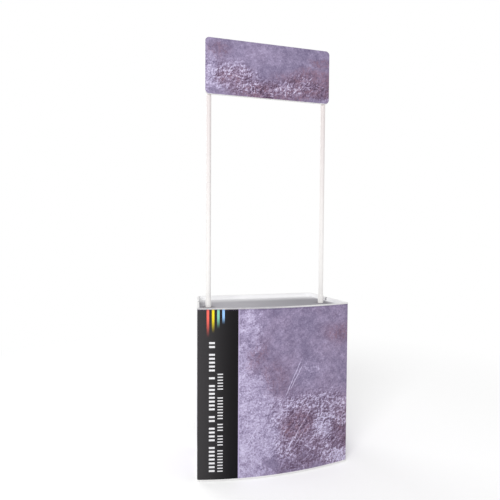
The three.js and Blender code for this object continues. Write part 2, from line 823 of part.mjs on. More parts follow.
// The upper clips are closed above and hang the board on the pole caps, the lower ones are open rings
function headerClips() {
  const bore = poleRadius + seatGap;
  const front = clipFrontY - poleY;
  const back = clipBackY - poleY;
  const neckHalf = clipNeckWidth / 2;
  const solidClip = joined([
    box([-clipHalf, front, -clipTab], [clipHalf, back, clipHeight + clipTab]),
    box([-neckHalf, back - clipPlate / 2, 0], [neckHalf, -bore, clipHeight]),
    bar(clipHalf, 0, clipHeight),
  ]);
  const screwHoles = clipScrewPlaces().map(([, rise]) =>
    bar(screwShankRadius + seatGap, front - cutOverrun, back + cutOverrun, screwSides)
      .rotateX(-Math.PI / 2)
      .translate(0, 0, rise),
  );
  const boreTop = { upper: clipHeight - clipRoof, lower: clipHeight + cutOverrun };
  return clipPlaces().map(([side, level, x, z]) => {
    const geometry = cutBy(solidClip, [bar(bore, -cutOverrun, boreTop[level]), ...screwHoles]);
    const mesh = piece(`${side}_${level}_header_clip`, geometry, greyPlastic);
    mesh.position.set(x, poleY, z);
    return mesh;
  });
}

function clipScrews() {
  const length = clipPlate + 2 * seatGap + boardSkin * screwBiteShare - seatGap;
  const geometry = screw(length).rotateX(-Math.PI / 2);
  return clipPlaces().flatMap(([side, level, x, z]) =>
    clipScrewPlaces().map(([end, rise]) => {
      const mesh = piece(`${side}_${level}_clip_${end}_screw`, geometry, steel);
      mesh.position.set(x, clipBackY + seatGap, z + rise);
      return mesh;
    }),
  );
}

const base = new THREE.Group();
base.add(baseTray(), ...feet(), ...uprights(), ...shelfRails(), ...railScrews());
base.add(wrapPanel(), ...edgeProfiles());
base.add(strip("base_hook_strip", hookInset, baseLipZ + stripMargin));
base.add(strip("base_loop_strip", loopInset, baseLipZ + stripMargin));
base.add(strip("worktop_loop_strip", loopInset, rimUnderZ - stripMargin - stripHeight));

const worktop = new THREE.Group();
worktop.add(worktopTray(), worktopUnderpan(), ...poleSockets(), ...underpanScrews());
worktop.add(strip("worktop_hook_strip", hookInset, rimUnderZ - stripMargin - stripHeight));

const header = new THREE.Group();
header.add(headerBoard(), headerGraphic(), ...headerClips(), ...clipScrews());

const counter = new THREE.Group();
counter.add(base, storageShelf(), worktop, ...poles(), header);

export default counter;
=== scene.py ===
import json
from math import asin, atan2, cos, floor, hypot, pi, radians, sin, sqrt

import bmesh
import bpy
from mathutils import Matrix, Vector

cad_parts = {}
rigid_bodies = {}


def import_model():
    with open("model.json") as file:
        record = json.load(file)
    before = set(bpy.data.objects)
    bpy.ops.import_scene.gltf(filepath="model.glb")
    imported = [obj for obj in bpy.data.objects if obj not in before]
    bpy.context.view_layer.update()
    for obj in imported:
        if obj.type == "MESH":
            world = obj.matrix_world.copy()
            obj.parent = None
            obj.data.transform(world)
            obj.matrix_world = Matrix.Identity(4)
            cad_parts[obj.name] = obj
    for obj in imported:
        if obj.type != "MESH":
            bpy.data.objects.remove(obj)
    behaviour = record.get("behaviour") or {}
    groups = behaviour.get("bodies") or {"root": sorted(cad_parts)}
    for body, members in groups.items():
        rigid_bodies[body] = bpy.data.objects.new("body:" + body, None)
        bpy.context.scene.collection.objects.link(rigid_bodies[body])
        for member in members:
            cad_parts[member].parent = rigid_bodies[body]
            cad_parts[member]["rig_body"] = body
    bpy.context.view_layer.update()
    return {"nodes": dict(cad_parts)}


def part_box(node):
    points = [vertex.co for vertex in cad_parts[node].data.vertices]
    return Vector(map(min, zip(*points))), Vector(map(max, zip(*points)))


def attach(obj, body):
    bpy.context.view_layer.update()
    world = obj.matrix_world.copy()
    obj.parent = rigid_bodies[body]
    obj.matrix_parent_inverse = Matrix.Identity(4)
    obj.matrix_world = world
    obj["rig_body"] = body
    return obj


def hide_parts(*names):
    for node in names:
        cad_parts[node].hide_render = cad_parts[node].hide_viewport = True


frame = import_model()

seatGap = 0.0003  # between pieces that seat in each other
cutOverrun = 0.005  # how far a cut runs past the face that it opens
screwHole = 0.002  # radius of every screw hole
hands = (("left", -1), ("right", 1))  # the counter's sides as seen from the front


def tint(red, green, blue):  # a screen colour of 0 to 255 as the linear colour that shaders take
    def linear(value):
        share = value / 255
        return share / 12.92 if share <= 0.04045 else ((share + 0.055) / 1.055) ** 2.4

    return (linear(red), linear(green), linear(blue), 1)


def maths(kind, reflected=False):
    def apply(self, other=0):
        first, second = (other, self) if reflected else (self, other)
        return self.recipe.add("ShaderNodeMath", {"operation": kind}, {0: first, 1: second})

    return apply


class Wire:  # a node's output; sums, products and comparisons of wires add Math nodes
    def __init__(self, recipe, socket):
        self.recipe = recipe
        self.socket = socket

    __add__, __radd__ = maths("ADD"), maths("ADD", reflected=True)
    __sub__, __rsub__ = maths("SUBTRACT"), maths("SUBTRACT", reflected=True)
    __mul__, __rmul__ = maths("MULTIPLY"), maths("MULTIPLY", reflected=True)
    __truediv__ = maths("DIVIDE")
    __pow__ = maths("POWER")
    __mod__ = maths("FLOORED_MODULO")
    __lt__ = maths("LESS_THAN")
    __or__ = maths("MAXIMUM")
    __and__ = maths("MINIMUM")
    __abs__ = maths("ABSOLUTE")


class Recipe:  # one material, or the world, and its nodes
    def __init__(self, name, owner=None):
        self.owner = owner or bpy.data.materials.new(name)
        self.owner.use_nodes = True
        self.tree = self.owner.node_tree
        self.tree.nodes.clear()

    def add(self, kind, settings=None, sockets=None, out=0):
        node = self.tree.nodes.new(kind)
        for key, value in (settings or {}).items():
            if key == "stops":
                self.setStops(node.color_ramp.elements, value)
            else:
                setattr(node, key, value)
        for key, value in (sockets or {}).items():
            if isinstance(value, Wire):
                self.tree.links.new(value.socket, node.inputs[key])
            else:
                node.inputs[key].default_value = value
        return Wire(self, node.outputs[out]) if len(node.outputs) else node

    def setStops(self, elements, stops):
        while len(elements) < len(stops):
            elements.new(0.5)
        for element, (place, colour) in zip(elements, stops):
            element.position = place
            element.color = colour

    def place(self):  # where a point of the surface is, in metres
        return self.add("ShaderNodeTexCoord", out="Object")

    def printPlace(self):  # where a point of a print is: run along the sheet, height up it
        return self.add("ShaderNodeAttribute", {"attribute_name": "printPlace"}, out="Vector")

    def part(self, vector, axis):
        return self.add("ShaderNodeSeparateXYZ", None, {0: vector}, out=axis)

    def vector(self, operation, first, second=(0, 0, 0), out=0):
        return self.add("ShaderNodeVectorMath", {"operation": operation}, {0: first, 1: second}, out=out)

    def stretched(self, vector, factors):
        return self.vector("MULTIPLY", vector, factors)

    def mapped(self, vector, place, turn, scale):  # seen from a place, turned by degrees and scaled
        sockets = {"Location": (*place, 0), "Rotation": (0, 0, radians(turn)), "Scale": (*scale, 1)}
        return self.add("ShaderNodeMapping", {"vector_type": "TEXTURE"}, {"Vector": vector, **sockets})

    def slanted(self, vector, turn, stretch):  # drawn out along a line turned this far from upright
        return self.mapped(vector, (0, 0), turn, (1, stretch))

    def noise(self, where, scale, detail=2.0, roughness=0.5, out="Fac"):
        sockets = {"Vector": where, "Scale": scale, "Detail": detail, "Roughness": roughness}
        return self.add("ShaderNodeTexNoise", None, sockets, out=out)

    def cells(self, where, scale):
        return self.add("ShaderNodeTexVoronoi", None, {"Vector": where, "Scale": scale}, out="Distance")

    def wandered(self, where, scale, amount, detail=2.0):  # the place, pushed about by a noise
        push = self.vector("SUBTRACT", self.noise(where, scale, detail, out="Color"), (0.5, 0.5, 0.5))
        return self.vector("ADD", where, self.stretched(push, (amount, amount, amount)))

    def rise(self, value, start, end, top=1):  # soft step from 0 at start to the top at end
        sockets = {"Value": value, "From Min": start, "From Max": end, "To Max": top}
        return self.add("ShaderNodeMapRange", {"interpolation_type": "SMOOTHSTEP"}, sockets)

    def within(self, value, low, high, soft):
        return self.rise(value, low - soft, low + soft) * (1 - self.rise(value, high - soft, high + soft))

    def blend(self, share, first, second):
        return self.add("ShaderNodeMix", {"data_type": "RGBA"}, {0: share, 6: first, 7: second}, out=2)

    def ramp(self, share, stops):
        return self.add("ShaderNodeValToRGB", {"stops": stops}, {0: share})

    def bump(self, height, strength, distance):
        sockets = {"Height": height, "Strength": strength, "Distance": distance}
        return self.add("ShaderNodeBump", None, sockets)

    def surface(self, sockets):
        shader = self.add("ShaderNodeBsdfPrincipled", None, sockets)
        self.add("ShaderNodeOutputMaterial", None, {"Surface": shader})
        return self.owner


def weighed(weights, masks):  # the start plus each named mask times its weight
    total = weights.get("start", 0)
    for name, weight in weights.items():
        if name != "start":
            total = total + weight * masks[name]
    return total


grains = {  # a noise is its scale, detail and roughness; a bump is its strength and distance
    "moulded": {
        "cloud": (7, 3, 0.5), "grain": (1500, 3, 0.6), "mottle": {"cloud": 1}, "mottleRise": (0.3, 0.7),
        "spots": (60, 6, 0.7), "spotRise": (0.56, 0.8), "spotShare": 0.25,
        "rough": {"start": 0.36, "cloud": 0.08, "grain": 0.1, "spots": 0.05},
        "specular": 0.4, "bump": (0.2, 0.0002),
    },
    "tube": {
        "cloud": (11, 4, 0.5), "grain": (520, 3, 0.5), "mottle": {"grain": 0.6, "cloud": 0.4},
        "mottleRise": (0.35, 0.65), "spots": (90, 6, 0.7), "spotRise": (0.6, 0.85), "spotShare": 0.3,
        "rough": {"start": 0.3, "grain": 0.12, "spots": 0.1}, "specular": 0.18, "bump": (0.12, 0.0001),
    },
    "sheet": {
        "cloud": (4, 5, 0.6), "grain": (420, 2, 0.5), "mottle": {"cloud": 1}, "mottleRise": (0.3, 0.7),
        "rough": {"start": 0.42, "grain": 0.14}, "specular": 0.4, "bump": (0.1, 0.0002),
    },
    "metal": {
        "cloud": (14, 3, 0.5), "grain": (900, 5, 0.7), "mottle": {"grain": 0.7, "cloud": 0.3},
        "mottleRise": (0.35, 0.65), "rough": {"start": 0.3, "grain": 0.18, "cloud": 0.06},
        "metallic": 1, "bump": (0.15, 0.0001),
    },
    "rubber": {
        "cloud": (60, 5, 0.5), "grain": (1800, 2, 0.5), "mottle": {"cloud": 1}, "mottleRise": (0.35, 0.7),
        "rough": {"start": 0.68, "grain": 0.2}, "bump": (0.35, 0.0002),
    },
    "laminate": {
        "cloud": (5, 4, 0.5), "grain": (650, 3, 0.5), "mottle": {"cloud": 1}, "mottleRise": (0.3, 0.7),
        "spots": (240, 4, 0.7), "spotRise": (0.63, 0.74), "spotShare": 0.35,
        "rough": {"start": 0.42, "grain": 0.2}, "specular": 0.4, "bump": (0.22, 0.0002),
    },
}


def grained(name, kind, colours, roughness=None, drawn=None, paintedShade=None):  # a third colour is for the spots
    look = grains[kind]
    recipe = Recipe(name)
    where = recipe.place()
    fine = recipe.stretched(where, drawn) if drawn else where
    masks = {"cloud": recipe.noise(where, *look["cloud"]), "grain": recipe.noise(fine, *look["grain"])}
    colour = recipe.blend(recipe.rise(weighed(look["mottle"], masks), *look["mottleRise"]), *colours[:2])
    # the hook paints shade into the colour
    if paintedShade:
        colour = paintedShade(recipe, where, masks["cloud"] - 0.5, colour)
    if "spots" in look:
        masks["spots"] = recipe.rise(recipe.noise(where, *look["spots"]), *look["spotRise"])
        colour = recipe.blend(look["spotShare"] * masks["spots"], colour, colours[-1])
    rough = dict(look["rough"], start=roughness or look["rough"]["start"])
    return recipe.surface({
        "Base Color": colour,
        "Metallic": look.get("metallic", 0),
        "Roughness": weighed(rough, masks),
        "Specular IOR Level": look.get("specular", 0.5),
        "Normal": recipe.bump(masks["grain"], *look["bump"]),
    })


poleTopShade = {"colour": tint(229, 221, 220), "heights": (0.92, 1.95), "spread": 0.2}  # painted shade: darker and pinker towards the top, under the header


# painted shade: the tube's colour darkens and pinkens with height
def shadedUpwards(recipe, where, cloud, colour):
    height = recipe.part(where, "Z") + poleTopShade["spread"] * cloud
    return recipe.blend(recipe.rise(height, *poleTopShade["heights"]), colour, poleTopShade["colour"])


tape = {
    "wander": (700, 0.0005), "loops": 1100, "loopRise": (0.2, 0.75), "fuzz": (2600, 3), "fuzzHeight": 0.3,
    "rough": {"start": 0.8, "fuzz": 0.15}, "bump": (0.7, 0.0006),
}


def wovenTape(name, colour, shade):
    recipe = Recipe(name)
    where = recipe.place()
    loops = recipe.cells(recipe.wandered(where, *tape["wander"]), tape["loops"])
    fuzz = recipe.noise(where, *tape["fuzz"])
    return recipe.surface({
        "Base Color": recipe.blend(recipe.rise(loops, *tape["loopRise"]), colour, shade),
        "Roughness": weighed(tape["rough"], {"fuzz": fuzz}),
        "Normal": recipe.bump(1 - loops + tape["fuzzHeight"] * fuzz, *tape["bump"]),
    })


white = (tint(247, 246, 245), tint(240, 239, 239))
satin = (tint(206, 208, 211), tint(178, 180, 184))
finishes = {
    "moulding": grained("white moulded plastic", "moulded", white),
    "grey": grained("grey moulded plastic", "moulded", (tint(214, 214, 216), tint(205, 205, 208)), 0.42),
    "tube": grained(
        "warm white tube", "tube", (tint(252, 250, 248), tint(245, 243, 241)),
        drawn=(1, 1, 0.012), paintedShade=shadedUpwards,
    ),
    "sheet": grained("white sheet core", "sheet", (tint(240, 240, 241), tint(231, 231, 234))),
    "upright": grained("satin aluminium, upright", "metal", satin, drawn=(1, 1, 0.01)),
    "rail": grained("satin aluminium, along", "metal", satin, drawn=(1, 0.01, 1)),
    "steel": grained("zinc plated steel", "metal", (tint(196, 197, 199), tint(160, 161, 165)), 0.26),
    "tape": wovenTape("hook and loop tape", tint(232, 232, 232), tint(196, 196, 198)),
    "rubber": grained("black rubber", "rubber", (tint(34, 34, 36), tint(52, 52, 54))),
    "board": grained(
        "white laminate", "laminate", (tint(241, 241, 240), tint(234, 234, 234), tint(214, 214, 216)),
    ),
    "boardEdge": grained(
        "white edging", "laminate", (tint(229, 229, 228), tint(220, 220, 220), tint(205, 205, 206)),
    ),
}
print("plain finishes made")


plaster = {  # a noise is its scale, detail and roughness; weights move a point along the ramp of tones
    "cool": [
        (0.0, tint(86, 76, 108)), (0.25, tint(116, 105, 136)), (0.45, tint(140, 129, 159)),
        (0.6, tint(160, 148, 180)), (0.75, tint(182, 171, 203)), (1.0, tint(214, 206, 234)),
    ],
    "warm": [
        (0.0, tint(82, 62, 84)), (0.25, tint(116, 96, 120)), (0.45, tint(143, 124, 151)),
        (0.6, tint(164, 147, 176)), (0.75, tint(187, 172, 203)), (1.0, tint(220, 210, 234)),
    ],
    "loose": (7, 0.1, 5), "zoneEdge": (1.3, 0.3),
    "broad": (5, 6, 0.6), "middle": (24, 9, 0.66), "fine": (130, 8, 0.72),
    "ground": {"start": 0.477, "pale": 0.165, "stain": -0.1, "rough": 0.09, "broad": 0.6},
    "middleShare": {"start": 0.75, "pale": 0.2, "rough": 0.3},
    "fineShare": {"start": 0.6, "pale": 0.9, "rough": 0.7},
    "peeled": {"pale": 1, "middle": 1.5, "fine": 0.8}, "peeledRise": (0.4, 0.54, 0.13),
    "strokes": [((38, 5), (75, 6, 0.65), 0.34), ((-64, 6), (90, 5, 0.6), 0.2)],  # slant, noise and weight
    "strokeShare": {"start": 1, "rough": -0.5},
    "crumble": (22, 0.025, 4), "crumbs": (60, 9, 0.7), "beside": (0.0035, -0.0045, 0),
    "crumbShare": {"start": 0.4, "pale": 0.6, "rough": 1.5},
    "torn": {"rough": 1, "middle": 1.2}, "tornRise": (0.15, 0.75),
    "patches": (13, 7, 0.62), "patchShare": {"start": -0.15, "cluster": 0.2},
    "clusters": {"patches": 1, "flakes": 0.14, "bare": -0.14}, "clusterRise": (0.44, 0.58),
    "fleckRise": (0.52, 0.56), "fleckShare": {"start": 0.07, "cluster": 0.22},
    "pits": (0.41, 0.49, 0.02), "pitShare": {"start": -0.1, "cluster": -0.12},
    "nickSlant": (32, 2.5), "nicks": (150, 4, 0.6), "nickRise": (0.56, 0.63),
    "nickShare": {"start": -0.065, "pale": -0.195},
    "scratchWander": (30, 0.006), "scratchEdge": (0.5, 1.6), "scratchEnds": 0.08,
    "scratchRise": (-0.18, -0.04), "scratchLift": 0.42,
    "hollow": 0.5, "hollowShare": {"start": 0.4, "rough": 0.8},
    "brown": {"stain": 0.55, "rough": 0.55, "pale": -0.3, "broad": 1.6, "middle": 0.5},
    "brownRise": (-0.25, 0.75),
    "veinDrawn": (1, 0.45, 1), "veins": (42, 6, 0.6), "veinEdge": 0.035, "veinShare": 0.8,
    "veinZone": {"stain": 1, "middle": 0.8}, "veinZoneRise": (0.25, 0.9), "veinColour": tint(146, 114, 132),
    "peel": (380, 2), "wave": (6, 1), "waveHeight": 12, "bump": (0.06, 0.0002),
    "gloss": {"start": 0.46, "peel": 0.12}, "specular": 0.1,
}
wrapPrint = {  # zones are (run from the middle, height), reaches, turn in degrees and strength
    "pale": [
        ((-0.145, 0.72), (0.08, 0.2), 0, 0.6), ((-0.17, 0.34), (0.16, 0.24), -8, 1.0),
        ((-0.11, 0.17), (0.18, 0.12), 20, 1.0), ((-0.2, 0.55), (0.06, 0.14), 0, 0.9),
        ((0.0, 0.33), (0.12, 0.09), -25, 0.5), ((-0.17, 0.03), (0.15, 0.07), 0, 0.7),
        ((0.35, 0.04), (0.09, 0.05), -14, 0.7), ((0.18, 0.52), (0.09, 0.07), 30, 0.35),
        ((0.26, 0.21), (0.08, 0.08), 24, 0.6), ((-0.1, 0.24), (0.08, 0.05), 30, 0.5),
        ((-0.62, 0.4), (0.14, 0.5), 4, 0.9), ((0.56, 0.25), (0.12, 0.22), -12, 0.8),
    ],
    "rough": [
        ((0.19, 0.28), (0.26, 0.15), -4, 1.0), ((0.3, 0.17), (0.2, 0.16), 18, 1.0),
        ((0.08, 0.16), (0.15, 0.1), 30, 0.9), ((0.33, 0.05), (0.15, 0.08), -8, 1.0),
        ((0.12, 0.04), (0.18, 0.06), 8, 0.6), ((0.66, 0.5), (0.14, 0.26), 10, 0.7),
        ((-0.52, 0.12), (0.14, 0.12), 0, 0.7),
    ],
    "stain": [
        ((-0.115, 0.61), (0.08, 0.11), -20, 0.7), ((-0.02, 0.48), (0.1, 0.14), 32, 0.6),
        ((0.34, 0.7), (0.12, 0.06), -10, 0.9), ((0.17, 0.08), (0.17, 0.08), 4, 0.25),
        ((0.4, 0.2), (0.08, 0.16), 0, 0.8), ((0.1, 0.24), (0.1, 0.08), 40, 1.1),
        ((0.62, 0.7), (0.15, 0.08), 12, 0.7), ((-0.6, 0.72), (0.14, 0.1), -12, 0.6),
    ],
    "flakes": [
        ((0.17, 0.36), (0.15, 0.06), -6, 1.0), ((0.23, 0.24), (0.1, 0.1), -24, 1.0),
        ((0.36, 0.3), (0.08, 0.1), 0, 0.6), ((0.36, 0.045), (0.1, 0.05), -12, 1.0),
        ((0.05, 0.1), (0.06, 0.05), 30, 0.7), ((0.66, 0.5), (0.1, 0.2), 10, 0.7),
    ],
    "bare": [
        ((0.1, 0.25), (0.09, 0.08), 40, 1.0), ((0.36, 0.13), (0.08, 0.06), 10, 0.8),
        ((0.12, 0.04), (0.12, 0.04), 6, 0.2), ((-0.52, 0.12), (0.1, 0.08), 0, 0.7),
    ],
    "scratches": [  # start, end and width
        ((0.055, 0.13), (0.175, 0.31), 0.0026), ((0.085, 0.13), (0.16, 0.235), 0.002),
        ((0.04, 0.4), (0.115, 0.56), 0.0022), ((0.065, 0.43), (0.125, 0.54), 0.0016),
        ((-0.16, 0.16), (-0.1, 0.26), 0.0014), ((0.57, 0.3), (0.66, 0.55), 0.0018),
    ],
    "shift": (0, 0, 0), "lilac": 0,
}
headerPrint = {
    "pale": [
        ((-0.33, 0.12), (0.06, 0.14), 0, 0.9), ((-0.28, 0.05), (0.07, 0.04), 12, 0.6),
        ((-0.24, 0.17), (0.1, 0.04), -14, 0.15), ((0.05, 0.05), (0.12, 0.03), 4, 0.35),
    ],
    "rough": [
        ((-0.19, 0.09), (0.17, 0.085), -8, 1.0), ((-0.03, 0.05), (0.17, 0.055), 2, 1.0),
        ((0.13, 0.07), (0.15, 0.06), 14, 0.95), ((0.26, 0.06), (0.12, 0.06), 0, 0.8),
    ],
    "stain": [
        ((0.27, 0.11), (0.17, 0.08), -4, 1.5), ((0.3, 0.21), (0.1, 0.03), -8, 0.9),
        ((0.05, 0.03), (0.28, 0.06), 3, 1.3), ((-0.27, 0.22), (0.08, 0.06), 20, 0.7),
        ((-0.2, 0.09), (0.1, 0.05), 0, 0.9), ((0.1, 0.12), (0.14, 0.03), 6, 0.6),
    ],
    "flakes": [
        ((-0.2, 0.12), (0.1, 0.05), -10, 0.1), ((-0.11, 0.05), (0.08, 0.035), 20, 0.6),
        ((0.1, 0.06), (0.12, 0.025), 16, 0.6),
    ],
    "bare": [
        ((-0.24, 0.07), (0.07, 0.04), 0, 0.8), ((0.28, 0.08), (0.08, 0.06), 0, 0.9),
        ((-0.02, 0.07), (0.07, 0.03), 0, 0.8),
    ],
    "scratches": [((-0.24, 0.08), (-0.2, 0.15), 0.0018), ((0.17, 0.06), (0.24, 0.13), 0.0018)],
    "shift": (3.1, 1.7, 0), "lilac": 0.16,
}
darkBand = {
    "start": -0.452, "end": -0.2035, "line": 0.0045, "lineColour": tint(196, 180, 220), "lineShare": 0.8,
    "left": tint(58, 56, 58), "right": tint(7, 4, 8), "shadeStart": -0.41, "crisp": 0.0004,
    "grain": (600, 2), "grainShare": 0.012, "white": tint(236, 235, 238),
    "barWidth": 0.0118, "barTop": 0.8125,
    "bars": [  # start, height where it fades out, and colour
        (-0.357, 0.70, tint(255, 112, 100)), (-0.332, 0.722, tint(252, 228, 40)),
        (-0.307, 0.744, tint(140, 210, 186)), (-0.282, 0.766, tint(158, 204, 255)),
    ],
    "markSoft": 0.03,
    "marks": [  # rows of ticks; the last tick of every so many is left out, as rests say
        {"run": (-0.3452, -0.3172), "span": (0.034, 0.6868), "pitch": 0.0192, "share": 0.5, "rests": (8, 13)},
        {"run": (-0.304, -0.278), "span": (0.034, 0.5304), "pitch": 0.0146, "share": 0.36, "rests": (9, 14)},
    ],
    # painted shadow under the worktop's lip, at the top of the print
    "dirt": tint(66, 54, 80), "castShadeRise": (0.831, 0.838, 0.3),
}


def zoneMask(recipe, where, zones):
    total = None
    for place, reaches, turn, strength in zones:
        away = recipe.vector("LENGTH", recipe.mapped(where, place, turn, reaches), out="Value")
        mask = recipe.rise(away, *plaster["zoneEdge"], strength)
        total = mask if total is None else total | mask
    return total


def scratchMask(recipe, where, scratches):
    total = None
    for start, end, width in scratches:
        run, height = end[0] - start[0], end[1] - start[1]
        length = hypot(run, height)
        away = recipe.vector("SUBTRACT", where, (*start, 0))
        along = recipe.vector("DOT_PRODUCT", away, (run / length**2, height / length**2, 0), out="Value")
        across = recipe.vector("DOT_PRODUCT", away, (-height / length, run / length, 0), out="Value")
        edge = recipe.rise(abs(across), *[share * width for share in plaster["scratchEdge"]])
        mask = (1 - edge) * recipe.within(along, 0, 1, plaster["scratchEnds"])
        total = mask if total is None else total | mask
    return total


def plasterColour(recipe, place, zones):
    at = recipe.vector("ADD", place, zones["shift"])
    loose = recipe.wandered(place, *plaster["loose"])
    kinds = ("pale", "rough", "stain", "flakes", "bare")
    masks = {kind: zoneMask(recipe, loose, zones[kind]) for kind in kinds}
    for size in ("broad", "middle", "fine"):
        masks[size] = recipe.noise(at, *plaster[size]) - 0.5

    def share(name):
        return weighed(plaster[name], masks)

    tone = share("ground") + masks["middle"] * share("middleShare") + masks["fine"] * share("fineShare")
    tone = tone + recipe.rise(share("peeled"), *plaster["peeledRise"])

    strokes = 0
    for slant, grain, weight in plaster["strokes"]:
        strokes = strokes + weight * (recipe.noise(recipe.slanted(at, *slant), *grain) - 0.5)
    tone = tone + strokes * share("strokeShare")

    crumbled = recipe.wandered(at, *plaster["crumble"])
    crumbs = recipe.noise(crumbled, *plaster["crumbs"])
    beside = recipe.noise(recipe.vector("ADD", crumbled, plaster["beside"]), *plaster["crumbs"])
    tone = tone + (crumbs - beside) * share("crumbShare")  # light and dark sides of the crumbs
    masks["patches"] = recipe.noise(crumbled, *plaster["patches"])
    masks["cluster"] = recipe.rise(share("clusters"), *plaster["clusterRise"])
    flecks = recipe.rise(crumbs, *plaster["fleckRise"]) * share("fleckShare")
    pits = recipe.within(crumbs, *plaster["pits"]) * share("pitShare")
    torn = recipe.rise(share("torn"), *plaster["tornRise"])
    tone = tone + torn * (share("patchShare") + flecks + pits)

    nicks = recipe.noise(recipe.slanted(at, *plaster["nickSlant"]), *plaster["nicks"])
    tone = tone + recipe.rise(nicks, *plaster["nickRise"]) * share("nickShare")
    lines = scratchMask(recipe, recipe.wandered(place, *plaster["scratchWander"]), zones["scratches"])
    tone = tone + plaster["scratchLift"] * lines * recipe.rise(masks["fine"], *plaster["scratchRise"])

    hollows = (plaster["hollow"] - tone) * share("hollowShare")  # brown in the hollows, lilac on the crests
    warmth = recipe.rise(share("brown") + hollows - zones["lilac"], *plaster["brownRise"])
    colour = recipe.blend(warmth, recipe.ramp(tone, plaster["cool"]), recipe.ramp(tone, plaster["warm"]))
    vein = abs(recipe.noise(recipe.stretched(loose, plaster["veinDrawn"]), *plaster["veins"]) - 0.5)
    veins = 1 - recipe.rise(vein, 0, plaster["veinEdge"])
    veins = veins * recipe.rise(share("veinZone"), *plaster["veinZoneRise"])
    return recipe.blend(plaster["veinShare"] * veins, colour, plaster["veinColour"])


def bandColour(recipe, place, colour, band):
    run, height = recipe.part(place, "X"), recipe.part(place, "Y")
    crisp = band["crisp"]
    ink = recipe.blend(recipe.rise(run, band["shadeStart"], band["end"]), band["left"], band["right"])
    ink = recipe.blend(band["grainShare"] * recipe.noise(place, *band["grain"]), ink, band["white"])
    for start, fadeEnd, hue in band["bars"]:
        bar = recipe.within(run, start, start + band["barWidth"], crisp)
        ink = recipe.blend(bar * recipe.rise(height, fadeEnd, band["barTop"]), ink, hue)
    for marks in band["marks"]:
        step = (height - marks["span"][0]) / marks["pitch"]
        half = marks["share"] / 2
        shown = recipe.within(step % 1, 0.5 - half, 0.5 + half, band["markSoft"])
        shown = shown * recipe.within(height, *marks["span"], crisp)
        whole = step - step % 1 + 0.5
        for rest in marks["rests"]:
            shown = shown * (whole % rest < rest - 1)
        ink = recipe.blend(shown * recipe.within(run, *marks["run"], crisp), ink, band["white"])
    colour = recipe.blend(recipe.within(run, band["start"], band["end"], crisp), colour, ink)
    line = recipe.within(run, band["end"], band["end"] + band["line"], crisp)
    colour = recipe.blend(band["lineShare"] * line, colour, band["lineColour"])
    return recipe.blend(recipe.rise(height, *band["castShadeRise"]), colour, band["dirt"])  # painted shadow under the worktop's lip


def printedSheet(name, zones, band=None):
    recipe = Recipe(name)
    place = recipe.printPlace()
    colour = plasterColour(recipe, place, zones)
    if band:
        colour = bandColour(recipe, place, colour, band)
    peel = recipe.noise(place, *plaster["peel"])
    wave = recipe.noise(place, *plaster["wave"])
    return recipe.surface({
        "Base Color": colour,
        "Roughness": weighed(plaster["gloss"], {"peel": peel}),
        "Specular IOR Level": plaster["specular"],
        "Normal": recipe.bump(peel + plaster["waveHeight"] * wave, *plaster["bump"]),
    })


finishes["wrapPrint"] = printedSheet("worn plaster print with a dark band", wrapPrint, darkBand)
finishes["headerPrint"] = printedSheet("worn plaster print", headerPrint)
print("prints made")


facets = {"hole": 24, "screw": 32, "peg": 48, "tube": 64, "collar": 72, "floor": 96}  # sides of round pieces
sharpAngle = 32  # edges over so many degrees stay sharp in the shading
flatNormal = 0.9  # a face looks along an axis from this share of its normal on


def linked(name, data):
    made = bpy.data.objects.new(name, data)
    bpy.context.scene.collection.objects.link(made)
    return made


def meshOf(shape):
    bmesh.ops.recalc_face_normals(shape, faces=shape.faces)
    mesh = bpy.data.meshes.new("shape")
    shape.to_mesh(mesh)
    shape.free()
    return mesh


def opened(*meshes):
    shape = bmesh.new()
    for mesh in meshes:
        shape.from_mesh(mesh)
    return shape


def together(*meshes):
    return meshOf(opened(*meshes))


def flipped(mesh):  # the same mesh on the other side of the counter's middle
    shape = opened(mesh)
    bmesh.ops.transform(shape, matrix=Matrix.Diagonal((-1, 1, 1, 1)), verts=shape.verts)
    return meshOf(shape)


def softened(mesh, width, segments=2, sharp=50):
    shape = opened(mesh)
    edges = [edge for edge in shape.edges if edge.calc_face_angle(0) > radians(sharp)]
    bmesh.ops.bevel(
        shape, geom=edges, offset=width, segments=segments, profile=0.5, affect="EDGES", clamp_overlap=True,
    )
    return meshOf(shape)


def moved(mesh, x=0, y=0, z=0, turn=None):
    mesh.transform(Matrix.Translation((x, y, z)) @ (turn or Matrix.Identity(4)))
    return mesh


def skin(rings, closed=False):  # a surface through rings of points; an open one gets flat ends
    shape = bmesh.new()
    loops = [[shape.verts.new(point) for point in ring] for ring in rings]
    for low, high in zip(loops, loops[1:] + (loops[:1] if closed else [])):
        count = max(len(low), len(high))
        for i in range(count):
            after = (i + 1) % count
            corners = [low[i % len(low)], low[after % len(low)], high[after % len(high)], high[i % len(high)]]
            shape.faces.new(list(dict.fromkeys(corners)))
    for loop in [] if closed else [loops[0], loops[-1]]:
        if len(loop) > 2:
            shape.faces.new(loop)
    return meshOf(shape)


def level(points, height):
    return [(x, y, height) for x, y in points]


def loft(rows, ringAt):
    return skin([level(ringAt(inset), height) for inset, height in rows])


def prism(points, bottom, top, hole=None):
    rings = [level(points, bottom), level(points, top)]
    if hole:
        rings += [level(hole, top), level(hole, bottom)]
    return skin(rings, closed=bool(hole))


def turned(profile, sides=facets["tube"], closed=False):
    rings = []
    for radius, height in profile:
        angles = [2 * pi * i / sides for i in range(sides)] if radius > 0 else [0]
        rings.append([(radius * cos(angle), radius * sin(angle), height) for angle in angles])
    return skin(rings, closed)


def bar(radius, bottom, top, sides=facets["peg"]):
    return turned([(radius, bottom), (radius, top)], sides)


def screwBore(bottom, top):
    return bar(screwHole, bottom, top, facets["hole"])


def box(low, high):
    corners = [(low[0], low[1]), (high[0], low[1]), (high[0], high[1]), (low[0], high[1])]
    return prism(corners, low[2], high[2])


